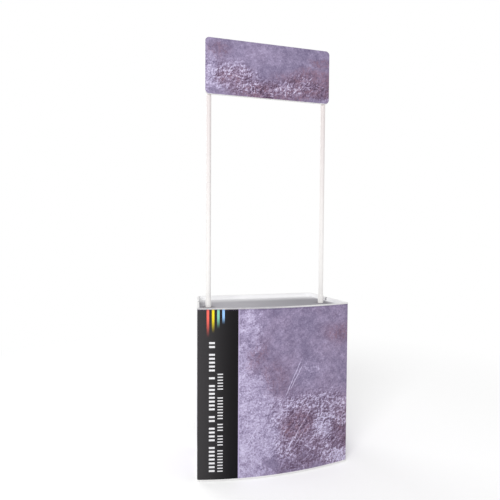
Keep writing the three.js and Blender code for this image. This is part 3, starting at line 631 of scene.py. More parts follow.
def sweep(section, pathAt):  # a closed section of (inset, height) drawn along a path
    shape = bmesh.new()
    lines = [[shape.verts.new((x, y, height)) for x, y in pathAt(inset)] for inset, height in section]
    for line, following in zip(lines, lines[1:] + lines[:1]):
        for i in range(len(line) - 1):
            shape.faces.new((line[i], line[i + 1], following[i + 1], following[i]))
    for end in (0, -1):
        shape.faces.new([line[end] for line in lines])
    return meshOf(shape)


def shaped(mesh, join=(), cut=()):
    carrier = linked("carrier", mesh)
    helpers = []
    for operation, tools in (("UNION", join), ("DIFFERENCE", cut)):
        for tool in tools:
            helpers.append(linked("helper", tool))
            step = carrier.modifiers.new("step", "BOOLEAN")
            step.operation = operation
            step.solver = "EXACT"
            step.object = helpers[-1]
    bpy.context.view_layer.update()
    seen = carrier.evaluated_get(bpy.context.evaluated_depsgraph_get())
    made = bpy.data.meshes.new_from_object(seen)
    for helper in [carrier, *helpers]:
        bpy.data.objects.remove(helper)
    return made


def middle(node):
    low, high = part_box(node)
    return (low + high) / 2


def atEach(nodes, mesh):  # copies of a mesh at the nodes' middles, seen from above
    return together(*[moved(mesh.copy(), *middle(node).xy) for node in nodes])


def settle(node, mesh, *looks, name=None, at=(0, 0, 0)):  # the piece takes the node's name if none is given
    first, *others = node.split("_")
    name = name or first + "".join(word.capitalize() for word in others)
    if not mesh.materials:
        for look in looks:
            mesh.materials.append(finishes[look])
        mesh.shade_smooth()
        mesh.set_sharp_from_angle(angle=radians(sharpAngle))
        mesh.name = name
    piece = linked(name, mesh)
    piece.location = at
    normals = piece.modifiers.new("normals", "WEIGHTED_NORMAL")
    normals.keep_sharp = True
    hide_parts(node)
    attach(piece, frame["nodes"][node]["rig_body"])


def settleMirrored(kind, right, look):
    settle(f"left_{kind}", flipped(right), look)
    settle(f"right_{kind}", right, look)


def settleAtPoles(kind, mesh, look, height=0):
    for side, sign in hands:
        settle(f"{side}_{kind}", mesh, look, at=(sign * poleX, poleY, height))


plan = {  # the counter's outline, seen from above
    "cornerWidth": 0.8, "sideDepth": 0.405, "bulge": 0.046, "taper": 0.053,
    "frontCorner": 0.012, "rearCorner": 0.03, "leastCorner": 0.004,
    "frontSteps": 40, "cornerSteps": 8, "sideSteps": 8, "edgeSteps": 5,
    "lipFace": 0.00015,  # the lips' faces stand this far inside the outline
}
insets = {  # of the faces under and behind the lips, in from the outline
    "sheetOut": 0.0015, "sheetIn": 0.0045, "loop": 0.0048, "hook": 0.0063, "wall": 0.0078, "skirt": 0.0118,
}
cornerX = plan["cornerWidth"] / 2
frontLineY = (plan["bulge"] - plan["sideDepth"]) / 2
rearY = frontLineY + plan["sideDepth"]
frontRadius = (cornerX**2 + plan["bulge"] ** 2) / (2 * plan["bulge"])
frontCentre = Vector((0, frontLineY - plan["bulge"] + frontRadius))
sideLength = hypot(plan["taper"], plan["sideDepth"])
sideRun = Vector((-plan["taper"], plan["sideDepth"])) / sideLength
sideOut = Vector((plan["sideDepth"], plan["taper"])) / sideLength
sideAngle = atan2(sideOut.y, sideOut.x)


def onSide(run, inset):
    return Vector((cornerX, frontLineY)) + sideRun * run - sideOut * inset


def arc(centre, radius, start, end, steps=plan["cornerSteps"]):
    angles = [start + (end - start) * i / steps for i in range(steps + 1)]
    return [Vector(centre) + Vector((cos(angle), sin(angle))) * radius for angle in angles]


def frontHalf(inset):
    radius = max(plan["frontCorner"] - inset, plan["leastCorner"])
    depth = inset + radius
    start = onSide(0, depth) - frontCentre
    along = start.dot(sideRun)
    run = -along - sqrt(along**2 - start.length_squared + (frontRadius - depth) ** 2)
    centre = onSide(run, depth)
    meet = atan2(centre.y - frontCentre.y, centre.x - frontCentre.x)
    front = arc(frontCentre, frontRadius - inset, -pi / 2, meet, plan["frontSteps"])
    return front + arc(centre, radius, meet, sideAngle)[1:]


def rearCorner(inset):
    radius = max(plan["rearCorner"] - inset, plan["leastCorner"])
    depth = inset + radius
    run = (rearY - depth + depth * sideOut.y - frontLineY) / sideRun.y
    return arc(onSide(run, depth), radius, sideAngle, pi / 2)


def mirrored(points):
    return [Vector((-point.x, point.y)) for point in reversed(points)]


def outline(inset):
    right = frontHalf(inset) + rearCorner(inset)
    return right + mirrored(right[1:])


def wrapPath(inset, setback):  # round the left side, the front and the right side
    half = frontHalf(inset)
    start, end = half[-1], onSide(sideLength - setback, inset)
    steps = plan["sideSteps"]
    half += [start.lerp(end, (i + 1) / steps) for i in range(steps)]
    return mirrored(half[1:]) + half


def bend(start, end, levelFirst, steps=plan["edgeSteps"]):  # a quarter turn between two (inset, height) rows
    rows = []
    for i in range(steps + 1):
        angle = pi / 2 * i / steps
        quick, slow = sin(angle), 1 - cos(angle)
        across, up = (quick, slow) if levelFirst else (slow, quick)
        rows.append((start[0] + (end[0] - start[0]) * across, start[1] + (end[1] - start[1]) * up))
    return rows


def lipRows(bottom, top, under, over):  # a lip's face with its lower and upper rounding
    face = plan["lipFace"]
    return bend((under, bottom), (face, bottom + under), True) + bend((face, top - over), (over, top), False)


def roundedRing(width, height, radius, steps=6):
    x, y = width / 2 - radius, height / 2 - radius
    ring = []
    for i, centre in enumerate([(x, y), (-x, y), (-x, -y), (x, -y)]):
        ring += arc(centre, radius, i * pi / 2, (i + 1) * pi / 2, steps)
    return ring


def strapSection(outer, inner, node, edge):
    bottom, top = (corner.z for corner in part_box(node))
    return [
        (outer, bottom + edge), (outer, top - edge), (outer + edge, top), (inner - edge, top),
        (inner, top - edge), (inner, bottom + edge), (inner - edge, bottom), (outer + edge, bottom),
    ]


def writePrintPlace(mesh, places):
    attribute = mesh.attributes.new("printPlace", "FLOAT_VECTOR", "POINT")
    attribute.data.foreach_set("vector", [number for place in places for number in place])


sheet = {"endSetback": 0.042, "edge": 0.0004, "printHeight": 0.841}  # the print is laid out for that height


def wrapSheet():
    section = strapSection(insets["sheetOut"], insets["sheetIn"], "wrap_panel", sheet["edge"])
    mesh = sweep(section, lambda inset: wrapPath(inset, sheet["endSetback"]))
    path = wrapPath(insets["sheetOut"], sheet["endSetback"])
    runs = [0.0]
    for start, end in zip(path, path[1:]):
        runs.append(runs[-1] + (end - start).length)
    centre = runs[len(path) // 2]
    low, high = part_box("wrap_panel")
    scale = sheet["printHeight"] / (high.z - low.z)
    places = [(run - centre, (height - low.z) * scale, 0) for _, height in section for run in runs]
    writePrintPlace(mesh, places)
    for face in mesh.polygons:  # the outer faces come first
        face.material_index = 0 if face.index < len(path) - 1 else 1
    settle("wrap_panel", mesh, "wrapPrint", "sheet", name="printedWrapSheet")


edgeProfile = {"flange": 0.0012, "grip": 0.014, "web": 0.002, "round": 0.0004}


def edgeProfiles():
    end = sideLength - sheet["endSetback"]
    web = end + seatGap
    back, start = web + edgeProfile["web"], end - edgeProfile["grip"]
    outerFace, innerFace = insets["sheetOut"] - seatGap, insets["sheetIn"] + seatGap
    outerSkin, innerSkin = outerFace - edgeProfile["flange"], innerFace + edgeProfile["flange"]
    corners = [
        (start, outerFace), (start, outerSkin), (back, outerSkin), (back, innerSkin),
        (start, innerSkin), (start, innerFace), (web, innerFace), (web, outerFace),
    ]
    low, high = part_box("right_edge_profile")
    right = prism([onSide(*corner) for corner in corners], low.z, high.z)
    settleMirrored("edge_profile", softened(right, edgeProfile["round"]), "moulding")


strip = {"thickness": 0.0012, "endSetback": 0.062, "edge": 0.0003}


def hookAndLoopStrips():
    for end in ("base", "worktop"):
        for kind in ("hook", "loop"):
            node = f"{end}_{kind}_strip"
            section = strapSection(insets[kind], insets[kind] + strip["thickness"], node, strip["edge"])
            settle(node, sweep(section, lambda inset: wrapPath(inset, strip["endSetback"])), "tape")


base = {
    "lipHeight": 0.007, "lipRound": 0.0012, "wallHeight": 0.03, "wall": 0.004,
    "socketHeight": 0.042, "socketWall": 0.004, "pegRadius": 0.004, "pegShare": 0.55,
    "pocketMargin": 0.062, "pocketRib": 0.005, "pocketShare": 0.5, "pocketColumns": 4, "pocketRows": 2,
}
upright = {"width": 0.025, "wall": 0.0016, "corner": 0.003}
uprightNodes = [f"{end}_{side}_upright" for end in ("front", "rear") for side, _ in hands]
footNodes = [f"rubber_foot_{i}" for i in range(1, 7)]
poleX, poleY, _ = middle("front_right_upright")


def uprightSockets(bottom, top):  # the sleeves that take the ends of the uprights
    inner = upright["width"] + 2 * seatGap
    outer = inner + 2 * base["socketWall"]
    ring = roundedRing(outer, outer, upright["corner"] + base["socketWall"])
    hole = roundedRing(inner, inner, upright["corner"])
    return atEach(uprightNodes, prism(ring, bottom, top, hole))


def baseMoulding():
    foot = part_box("base_tray")[0].z
    lip = foot + base["lipHeight"]
    wallTop = lip + base["wallHeight"]
    outer, edge = insets["wall"], base["lipRound"]
    inner = outer + base["wall"]
    rows = [
        *lipRows(foot, lip, edge, edge),
        (outer, lip),
        *bend((outer, wallTop - edge), (outer + edge, wallTop), False),
        (inner, wallTop),
        (inner, lip),
    ]
    sockets = uprightSockets(foot + base["lipHeight"] / 2, lip + base["socketHeight"])
    pegTop = foot + base["lipHeight"] * base["pegShare"] + seatGap
    pegs = atEach(footNodes, bar(base["pegRadius"] + seatGap, foot - cutOverrun, pegTop))
    mesh = shaped(loft(rows, outline), join=[sockets], cut=[pegs, pockets(foot)])
    settle("base_tray", mesh, "moulding", name="baseMoulding")


def pockets(foot):  # the hollows under the base
    halfX = poleX - base["pocketMargin"] / 2
    low = frontLineY + base["pocketMargin"]
    high = rearY - 2 * base["pocketMargin"]
    stepX, stepY = 2 * halfX / base["pocketColumns"], (high - low) / base["pocketRows"]
    rib = base["pocketRib"]
    ring = roundedRing(stepX - rib, stepY - rib, 2 * rib)
    top = foot + base["lipHeight"] * base["pocketShare"]
    hollows = []
    for column in range(base["pocketColumns"]):
        for row in range(base["pocketRows"]):
            x, y = -halfX + (column + 0.5) * stepX, low + (row + 0.5) * stepY
            hollows.append(moved(prism(ring, foot - cutOverrun, top), x, y))
    return together(*hollows)


pad = {
    "radius": 0.013, "footBevel": 0.0008, "footMiddle": 0.00024, "topBevel": 0.00032,
    "groove": 0.0006, "grooves": [0.0045, 0.0085],
}


def rubberPads():
    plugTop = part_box(footNodes[0])[1].z
    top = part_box("base_tray")[0].z - seatGap
    radius, groove, between = pad["radius"], pad["groove"], pad["footMiddle"]
    profile = [(0, 0)]
    for place in pad["grooves"]:
        profile += [(place - groove, 0), (place, groove), (place + groove, 0)]
    profile += [
        (radius - pad["footBevel"], 0), (radius - between, between), (radius, pad["footBevel"]),
        (radius, top - pad["topBevel"]), (radius - pad["topBevel"], top),
        (base["pegRadius"], top), (base["pegRadius"], plugTop), (0, plugTop),
    ]
    mesh = turned(profile, facets["peg"])
    for i, node in enumerate(footNodes):
        settle(node, mesh, "rubber", name=f"rubberPad{i + 1}", at=(*middle(node).xy, 0))


rail = {"thickness": 0.0025, "leg": 0.026, "boreReach": 0.02, "round": 0.0004, "sharp": 80}


def levelBore(reach, *place):  # a screw's hole along X
    return moved(screwBore(-reach, reach), *place, Matrix.Rotation(pi / 2, 4, "Y"))


def uprights():
    innerWidth = upright["width"] - 2 * upright["wall"]
    outer = roundedRing(upright["width"], upright["width"], upright["corner"])
    inner = roundedRing(innerWidth, innerWidth, upright["corner"] - upright["wall"] / 2)
    low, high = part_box(uprightNodes[0])
    bore = levelBore(upright["width"], 0, 0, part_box("right_shelf_rail")[0].z + rail["leg"] / 2)
    mesh = shaped(prism(outer, low.z, high.z, inner), cut=[bore])
    for node in uprightNodes:
        settle(node, mesh, "upright", at=(*middle(node).xy, 0))


def shelfRails():
    low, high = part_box("right_shelf_rail")
    thickness = rail["thickness"]
    top, web = low.z + rail["leg"], high.x - thickness
    leg = box((web, low.y, low.z), (high.x, high.y, top))
    ledge = box((low.x, low.y, top - thickness), (web + thickness / 2, high.y, top))
    stop = box((low.x, low.y, top - thickness), (high.x, low.y + thickness, high.z))
    bores = []
    for node in ("front_right_upright", "rear_right_upright"):
        bores.append(levelBore(rail["boreReach"], web, middle(node).y, top - rail["leg"] / 2))
    mesh = shaped(leg, join=[ledge, stop], cut=[together(*bores)])
    settleMirrored("shelf_rail", softened(mesh, rail["round"], sharp=rail["sharp"]), "rail")


shelf = {
    "corner": 0.012, "frontSteps": 48, "gripWidth": 0.12, "gripDepth": 0.02, "gripCorner": 0.009,
    "rounding": (0.0015, 3, 60),  # width, steps and least angle of a rounded edge
}


def storageShelf():
    low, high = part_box("storage_shelf")
    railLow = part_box("right_shelf_rail")[0]
    stopY = railLow.y + rail["thickness"] + seatGap
    radius = hypot(railLow.x, frontCentre.y - stopY)
    turn = asin(high.x / radius)
    front = arc(frontCentre, radius, -pi / 2 - turn, -pi / 2 + turn, shelf["frontSteps"])
    corner, grip = shelf["corner"], shelf["gripCorner"]
    rightCorner = arc((high.x - corner, high.y - corner), corner, 0, pi / 2)
    gripX = shelf["gripWidth"] / 2
    rightGrip = [Vector((gripX, high.y))]
    rightGrip += arc((gripX - grip, high.y - shelf["gripDepth"] + grip), grip, 0, -pi / 2)
    points = front + rightCorner + rightGrip + mirrored(rightGrip) + mirrored(rightCorner)
    mesh = softened(prism(points, low.z, high.z), *shelf["rounding"])
    for face in mesh.polygons:
        face.material_index = 0 if abs(face.normal.z) > flatNormal else 1
    settle("storage_shelf", mesh, "board", "boardEdge")


tray = {
    "rimHeight": 0.006, "rimWidth": 0.009, "rimRound": 0.0016, "lipRound": 0.0012, "depth": 0.025,
    "fillet": 0.007, "draft": 0.001, "floor": 0.004, "postRadius": 0.006, "screwDepth": 0.018,
    "notchWidth": 0.01, "notchSetback": 0.028,
    "notchCuts": [(0.006, 0.0035), (0.0018, 0.017)],  # reach and depth of the mouth and of the slot below it
}
slack = {"hair": 0.0001, "notch": 0.0005, "rim": 0.0006, "recess": 0.002}  # for telling faces apart by place
recess = tray["rimWidth"] + tray["rimRound"]  # how far in the tray's walls stand
pan = {"plate": 0.004}
collar = {
    "bore": 0.0128, "waist": 0.0149, "height": 0.045, "bulge": 0.001, "floor": 0.003,
    "flange": 0.007, "flangeHeight": 0.003, "lip": 0.0005, "steps": 14,
}
screwNodes = [f"underpan_screw_{i}" for i in range(1, 7)]


def worktopMoulding():
    low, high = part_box("worktop_tray")
    rimTop, rimUnder, floorZ = high.z, high.z - tray["rimHeight"], high.z - tray["depth"]
    under = floorZ - tray["floor"]
    rimEdge, fillet = tray["rimRound"], tray["fillet"]
    wallFoot = recess + tray["draft"]
    rows = [
        (insets["skirt"], under),
        (insets["skirt"], low.z),
        (insets["wall"], low.z),
        (insets["wall"], rimUnder),
        *lipRows(rimUnder, rimTop, tray["lipRound"], rimEdge),
        *bend((tray["rimWidth"], rimTop), (recess, rimTop - rimEdge), True),
        *bend((wallFoot, floorZ + fillet), (wallFoot + fillet, floorZ), False),
    ]
    post = bar(tray["postRadius"], low.z + pan["plate"] + seatGap, under + tray["floor"] / 2)
    posts = atEach(screwNodes, post)
    screwBores = atEach(screwNodes, screwBore(low.z, low.z + tray["screwDepth"]))
    poleBore = bar(collar["waist"] + 2 * seatGap, low.z, rimTop, facets["tube"])
    poleBores = together(*[moved(poleBore.copy(), sign * poleX, poleY) for _, sign in hands])
    mesh = shaped(loft(rows, outline), join=[posts], cut=[poleBores, screwBores, *rimNotches(rimTop)])
    for face in mesh.polygons:
        centre = face.center
        # the notches' faces take a darker grey as painted shade
        if inNotch(centre, rimTop):
            face.material_index = 2
        elif floorZ - slack["hair"] < centre.z < rimTop - 2 * rimEdge and inRecess(centre, wallFoot):
            face.material_index = 1
    settle("worktop_tray", mesh, "worktop", "tray", "notch", name="worktopMoulding")


def inRecess(point, inset):
    beside = (Vector((abs(point.x), point.y)) - onSide(0, inset)).dot(sideOut) < slack["recess"]
    inFront = (point.xy - frontCentre).length < frontRadius - inset + slack["recess"]
    return beside and inFront and point.y < rearY - inset + slack["recess"]


def notchRuns():
    centre = (poleY + tray["notchSetback"] - frontLineY) / sideRun.y
    return centre - tray["notchWidth"] / 2, centre + tray["notchWidth"] / 2


def inNotch(point, rimTop):
    low, high = notchRuns()
    near = slack["notch"]
    away = Vector((abs(point.x), point.y)) - onSide(0, 0)
    run, inset = away.dot(sideRun), -away.dot(sideOut)
    beside = low - near < run < high + near and inset < recess - slack["hair"]
    return beside and point.z < rimTop - slack["rim"] and any(
        inset > recess - reach - near and point.z > rimTop - depth - near
        for reach, depth in tray["notchCuts"]
    )


def rimNotches(rimTop):
    low, high = notchRuns()
    cuts = []
    for reach, depth in tray["notchCuts"]:
        outer, inner = recess - reach, recess + cutOverrun
        section = [onSide(low, outer), onSide(high, outer), onSide(high, inner), onSide(low, inner)]
        cuts.append(prism(section, rimTop - depth, rimTop + cutOverrun))
    return cuts + [flipped(cut) for cut in cuts]


def worktopUnderpan():
    low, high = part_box("worktop_underpan")
    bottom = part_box("worktop_tray")[0].z
    edge = insets["skirt"] + seatGap
    sockets = uprightSockets(low.z, bottom + pan["plate"] / 2)
    bores = atEach(screwNodes, screwBore(bottom - cutOverrun, high.z + cutOverrun))
    mesh = shaped(loft([(edge, bottom), (edge, high.z)], outline), join=[sockets], cut=[bores])
    settle("worktop_underpan", mesh, "grey")


def poleSockets():
    low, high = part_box("left_pole_socket")
    floorZ = high.z - collar["height"]
    flangeTop = floorZ - tray["floor"] - seatGap
    flangeBottom = flangeTop - collar["flangeHeight"]
    waist, bore, lip = collar["waist"], collar["bore"], collar["lip"]
    flange, start = waist + collar["flange"], floorZ + seatGap
    profile = [
        (0, low.z), (waist - lip, low.z), (waist, low.z + lip), (waist, flangeBottom), (flange, flangeBottom),
        (flange, flangeTop), (waist, flangeTop), (waist, start),
    ]
    for i in range(1, collar["steps"] + 1):
        share = i / collar["steps"]
        radius = waist + collar["bulge"] * sin(pi * share) - (waist - bore) / 2 * share**2
        profile.append((radius, start + (high.z - lip - start) * share))
    profile += [(profile[-1][0] - lip / 2, high.z), (bore + lip / 2, high.z), (bore, high.z - lip)]
    profile += [(bore, low.z + collar["floor"]), (0, low.z + collar["floor"])]
    settleAtPoles("pole_socket", turned(profile, facets["collar"]), "tube")


lipShade = {  # painted shade along the front lip, darkest at the left and broken up by a noise
    "colour": tint(186, 184, 188), "back": 0.03, "front": 0.008, "right": 0.2, "left": -0.1, "wander": 0.1,
    "grime": (45, 7, 0.7), "blotchRise": (0.3, 0.6),
    "sideShare": {"start": 0.35, "side": 0.65}, "blotchShare": {"start": 0.7, "grime": 0.3},
}


# painted shade: greys the worktop's front lip
def shadedLip(recipe, where, cloud, colour):
    fromFront = recipe.part(where, "Y") - frontLineY
    lip = recipe.rise(fromFront, lipShade["back"], lipShade["front"])
    place = recipe.part(where, "X") + lipShade["wander"] * cloud
    masks = {
        "side": recipe.rise(place, lipShade["right"], lipShade["left"]),
        "grime": recipe.rise(recipe.noise(where, *lipShade["grime"]), *lipShade["blotchRise"]),
    }
    share = lip * weighed(lipShade["sideShare"], masks) * weighed(lipShade["blotchShare"], masks)
    return recipe.blend(share, colour, lipShade["colour"])


trayLook = {  # a noise is its scale, detail and roughness
    "wall": tint(252, 252, 253), "floor": (tint(184, 182, 187), tint(178, 176, 182)),
    "cloud": (5, 4), "cloudRise": (-0.2, 0.2), "grain": (900, 4, 0.65), "bump": (0.25, 0.0002),
    "reach": 0.16, "climb": 0.6, "greyRise": (-0.3, 0.75), "sideFade": 0.35,
    "dim": tint(154, 152, 158), "rightShadeWander": 0.1, "rightShadeRise": (-0.3, 0.3),
    "scuff": tint(156, 154, 161), "scuffDrawn": (1, 6, 1), "scuffs": (55, 7, 0.7), "scuffRise": (0.56, 0.72),
    "scuffShare": 0.35,
    "dirt": tint(138, 134, 140), "castShadeRise": (0.05, 0.02), "castShadeNoise": (40, 5), "castShadeWander": 0.02,
    "rough": {"start": 0.46, "low": 0.12, "grain": 0.1, "scuff": -0.05}, "specular": 0.08,
}


def trayPlastic(name, look):  # painted shade: grey over the floor away from the back wall and at the walls' feet, white higher up the walls
    recipe = Recipe(name)
    where = recipe.place()
    x, y, z = (recipe.part(where, axis) for axis in "XYZ")
    cloud = recipe.noise(where, *look["cloud"]) - 0.5
    grain = recipe.noise(where, *look["grain"])
    scuffs = recipe.noise(recipe.stretched(where, look["scuffDrawn"]), *look["scuffs"])
    scuff = recipe.rise(scuffs, *look["scuffRise"])
    height = (z - (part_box("worktop_tray")[1].z - tray["depth"])) / tray["depth"]
    fromBack = (rearY - recess - tray["draft"] - y) / look["reach"]
    # painted shade: the mask for the recess's shaded floor and wall feet
    grey = recipe.rise(fromBack - look["climb"] * height, *look["greyRise"])
    low = grey & recipe.rise(height, look["sideFade"], 0)
    tone = recipe.blend(recipe.rise(cloud, *look["cloudRise"]), *look["floor"])
    # painted shade: the floor darker towards the right
    tone = recipe.blend(recipe.rise(x + look["rightShadeWander"] * cloud, *look["rightShadeRise"]), tone, look["dim"])
    tone = recipe.blend(scuff * look["scuffShare"], tone, look["scuff"])
    # painted shadow: a darker ring round the foot of each pole's collar
    across, back = abs(x) - poleX, y - poleY
    fromCollar = (across * across + back * back) ** 0.5
    fromCollar = fromCollar + look["castShadeWander"] * (recipe.noise(where, *look["castShadeNoise"]) - 0.5)
    tone = recipe.blend(recipe.rise(fromCollar, *look["castShadeRise"]), tone, look["dirt"])
    return recipe.surface({
        "Base Color": recipe.blend(low, look["wall"], tone),
        "Roughness": weighed(look["rough"], {"low": low, "grain": grain, "scuff": scuff}),
        "Specular IOR Level": look["specular"],
        "Normal": recipe.bump(grain, *look["bump"]),
    })


finishes["tray"] = trayPlastic("recessed tray plastic", trayLook)
# white plastic with painted shade along the front lip
finishes["worktop"] = grained("white moulded plastic, painted shade on the lip", "moulded", white, paintedShade=shadedLip)
# painted shade: a darker grey for the faces inside the rim notches
finishes["notch"] = grained("notch plastic, painted shade", "moulded", (tint(150, 149, 155), tint(138, 137, 144)), 0.6)

pole = {"radius": 0.0125, "wall": 0.0015, "edge": 0.0005, "capHead": 0.003, "capSteps": 6}


def tubeOf(node, outer):
    low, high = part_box(node)
    inner, edge = outer - pole["wall"], pole["edge"]
    return turned([
        (inner, low.z), (outer - edge, low.z), (outer, low.z + edge),
        (outer, high.z - edge), (outer - edge, high.z), (inner, high.z),
    ], closed=True)


def poleCap(plug):
    low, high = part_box("left_pole_cap")
    seat, edge, radius = high.z - pole["capHead"], pole["capHead"] / 2, pole["radius"]
    return turned([
        (0, low.z), (plug - pole["edge"], low.z), (plug, low.z + pole["edge"]), (plug, seat), (radius, seat),
        *bend((radius, high.z - edge), (radius - edge, high.z), False, pole["capSteps"]), (0, high.z),
    ])


def poles():
    inside = pole["radius"] - pole["wall"] - seatGap
    settleAtPoles("lower_pole", tubeOf("left_lower_pole", pole["radius"]), "tube")
    settleAtPoles("upper_pole", tubeOf("left_upper_pole", pole["radius"]), "tube")
    settleAtPoles("pole_ferrule", tubeOf("left_pole_ferrule", inside), "upright")
    settleAtPoles("pole_cap", poleCap(inside), "grey")


header = {
    "corner": 0.022, "cornerSteps": 10, "skin": 0.004, "rim": 0.005, "edge": 0.001, "boreDepth": 0.0028,
    "rib": 0.0025, "levelRibs": [-0.17, 0.17], "uprightRibs": [-0.5, 0, 0.5], "printEdge": 0.0002,
}
clip = {
    "height": 0.046, "tab": 0.014, "plate": 0.003, "wall": 0.0032, "neck": 0.02, "roof": 0.003,
    "bore": 0.0128, "endGap": 0.003, "round": 0.0005,
}
clipNodes = [f"{side}_{place}_header_clip" for place in ("upper", "lower") for side, _ in hands]
clipScrewNodes = [
    node.replace("header_clip", f"clip_{end}_screw") for node in clipNodes for end in ("top", "bottom")
]


def headerRing(width, height, corner, inset):
    return roundedRing(width - 2 * inset, height - 2 * inset, corner - inset, header["cornerSteps"])


def headerBoard():
    low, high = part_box("header_board")
    width, height, depth = high.x - low.x, high.z - low.z, high.y - low.y
    pocket, middleZ = depth - header["skin"], (low.z + high.z) / 2
    rim, edge, rib, half = header["rim"], header["edge"], header["rib"], header["rib"] / 2

    def ringAt(inset):
        return headerRing(width, height, header["corner"], inset)

    rows = [(rim, pocket), (rim, 0)]
    rows += bend((edge, 0), (0, edge), True) + bend((0, depth - edge), (edge, depth), False)
    reach, tall = poleX - clip["bore"] - clip["wall"] - clip["endGap"], (height - rim) / 2
    spans = [(-reach, reach, share * height - half, share * height + half) for share in header["levelRibs"]]
    spans += [(share * poleX - half, share * poleX + half, -tall, tall) for share in header["uprightRibs"]]
    ribTop = depth - header["skin"] / 2
    ribs = [box((left, foot, rib), (right, top, ribTop)) for left, right, foot, top in spans]
    bores = []
    for node in clipScrewNodes:
        bore, centre = screwBore(-cutOverrun, pocket + header["boreDepth"]), middle(node)
        bores.append(moved(bore, centre.x, centre.z - middleZ))
    mesh = shaped(loft(rows, ringAt), join=ribs, cut=[together(*bores)])
    moved(mesh, 0, high.y, middleZ, Matrix.Rotation(pi / 2, 4, "X"))
    settle("header_board", mesh, "moulding")


def headerPrintSheet():
    low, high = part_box("header_graphic")
    width, height, thick = high.x - low.x, high.z - low.z, high.y - low.y
    edge, radius = header["printEdge"], header["corner"] - header["edge"]
    rings = []
    for inset, depth in ((edge, 0), (0, edge), (0, thick - edge), (edge, thick)):
        points = headerRing(width, height, radius, inset)
        rings.append([(x, high.y - depth, (low.z + high.z) / 2 + z) for x, z in points])
    mesh = skin(rings)
    writePrintPlace(mesh, [(vertex.co.x, vertex.co.z - low.z, 0) for vertex in mesh.vertices])
    for face in mesh.polygons:
        face.material_index = 0 if face.normal.y < -flatNormal else 1
    settle("header_graphic", mesh, "headerPrint", "sheet", name="headerPrintSheet")


def headerClips():
    half = clip["bore"] + clip["wall"]
    top, tab, edge = clip["height"], clip["tab"], clip["round"]
    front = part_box(clipNodes[0])[0].y - poleY
    back = front + clip["plate"]
    plate = softened(box((-half, front, -tab), (half, back, top + tab)), edge)
    neck = box((-clip["neck"] / 2, back - clip["plate"] / 2, 0), (clip["neck"] / 2, -clip["bore"], top))
    ring = turned([(half - edge, 0), (half, edge), (half, top - edge), (half - edge, top)])
    quarter = Matrix.Rotation(-pi / 2, 4, "X")
    bores = together(*[
        moved(screwBore(front - cutOverrun, back + cutOverrun), z=rise, turn=quarter)
        for rise in (-tab / 2, top + tab / 2)
    ])
    for place, boreTop in (("upper", top - clip["roof"]), ("lower", top + cutOverrun)):
        cuts = [bar(clip["bore"], -cutOverrun, boreTop, facets["tube"]), bores]
        mesh = shaped(plate.copy(), join=[neck, ring], cut=cuts)
        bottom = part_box(f"left_{place}_header_clip")[0].z + tab
        settleAtPoles(f"{place}_header_clip", mesh, "grey", bottom)


screw = {
    "shank": 0.0017, "core": 0.001394, "tip": 0.002, "point": (0.00119, 0.0012), "pitch": 0.0008,
    "head": 0.004, "headHeight": 0.0024, "headEdge": 0.0002, "crown": 0.0022, "crownSteps": 6,
    "recess": 0.001, "recessReach": 0.0024, "recessFloor": 0.00108,
}


def screwMesh(length):  # pan head with a cross recess; the seat of the head is at zero
    core, edge = screw["core"], screw["headEdge"]
    head, high = screw["head"], screw["headHeight"]
    profile = [(0, -length), (screw["point"][0], screw["point"][1] - length)]
    for i in range(floor((length - screw["tip"]) / screw["pitch"])):
        z = screw["tip"] - length + i * screw["pitch"]
        profile += [(core, z), (screw["shank"], z + screw["pitch"] / 2)]
    profile += [(core, -edge), (core, 0), (head - edge, 0), (head, edge)]
    profile += bend((head, high / 2), (screw["crown"], high), False, screw["crownSteps"])[:-1]
    profile.append((0, high))
    reach, half, bottom = screw["recessReach"], screw["recess"] / 2, screw["recessFloor"]
    cross = [box((-x, -y, bottom), (x, y, 2 * high)) for x, y in ((reach, half), (half, reach))]
    return shaped(turned(profile, facets["screw"]), cut=cross)


def screws():
    facings = {node: (0, 0, -1) for node in screwNodes}
    for end in ("front", "rear"):
        facings |= {f"{end}_{side}_rail_screw": (-sign, 0, 0) for side, sign in hands}
    facings |= {node: (0, 1, 0) for node in clipScrewNodes}
    made = {}
    for node, facing in facings.items():
        low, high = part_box(node)
        towards = Vector(facing)
        extent = abs((high - low).dot(towards))
        key = (round(extent, 4), facing)
        if key not in made:
            turn = Vector((0, 0, 1)).rotation_difference(towards).to_matrix().to_4x4()
            made[key] = moved(screwMesh(extent - screw["headHeight"]), turn=turn)
        settle(node, made[key], "steel", at=middle(node) + towards * (extent / 2 - screw["headHeight"]))


stages = {
    "sheet, profiles and strips": (wrapSheet, edgeProfiles, hookAndLoopStrips),
    "base": (baseMoulding, rubberPads),
    "uprights, rails and shelf": (uprights, shelfRails, storageShelf),
    "worktop": (worktopMoulding, worktopUnderpan, poleSockets),
    "poles, header and screws": (poles, headerBoard, headerPrintSheet, headerClips, screws),
}
for made, steps in stages.items():
    for step in steps:
        step()
    print(made, "made")


studio = {
    "floorRadius": 9.0, "fade": (1.4, 3.2), "albedo": (0.9, 0.9, 0.9, 1), "matt": 0.5,
    "glow": 0.2, "specks": (40, 4), "speckGlow": 0.004, "sky": 0.56,
    "lamps": [  # name, place, size and share of a plain level
        ("key lamp", (-2.6, -4.2, 2.6), (2.6, 2.6), 0.48),
        ("back lamp", (-2.4, 3.8, 3.0), (2.6, 2.6), 0.34),
        ("side lamp", (4.0, -1.6, 2.2), (2.0, 2.6), 0.05),
    ],
    "aim": (0, 0, 0.95),
}


def seenRays(recipe):  # rays that should meet the white ground, and not the light that it gives
    kinds = ("Camera", "Glossy", "Transmission")
    camera, glossy, transmitted = (recipe.add("ShaderNodeLightPath", out=f"Is {kind} Ray") for kind in kinds)
    return camera | glossy | transmitted


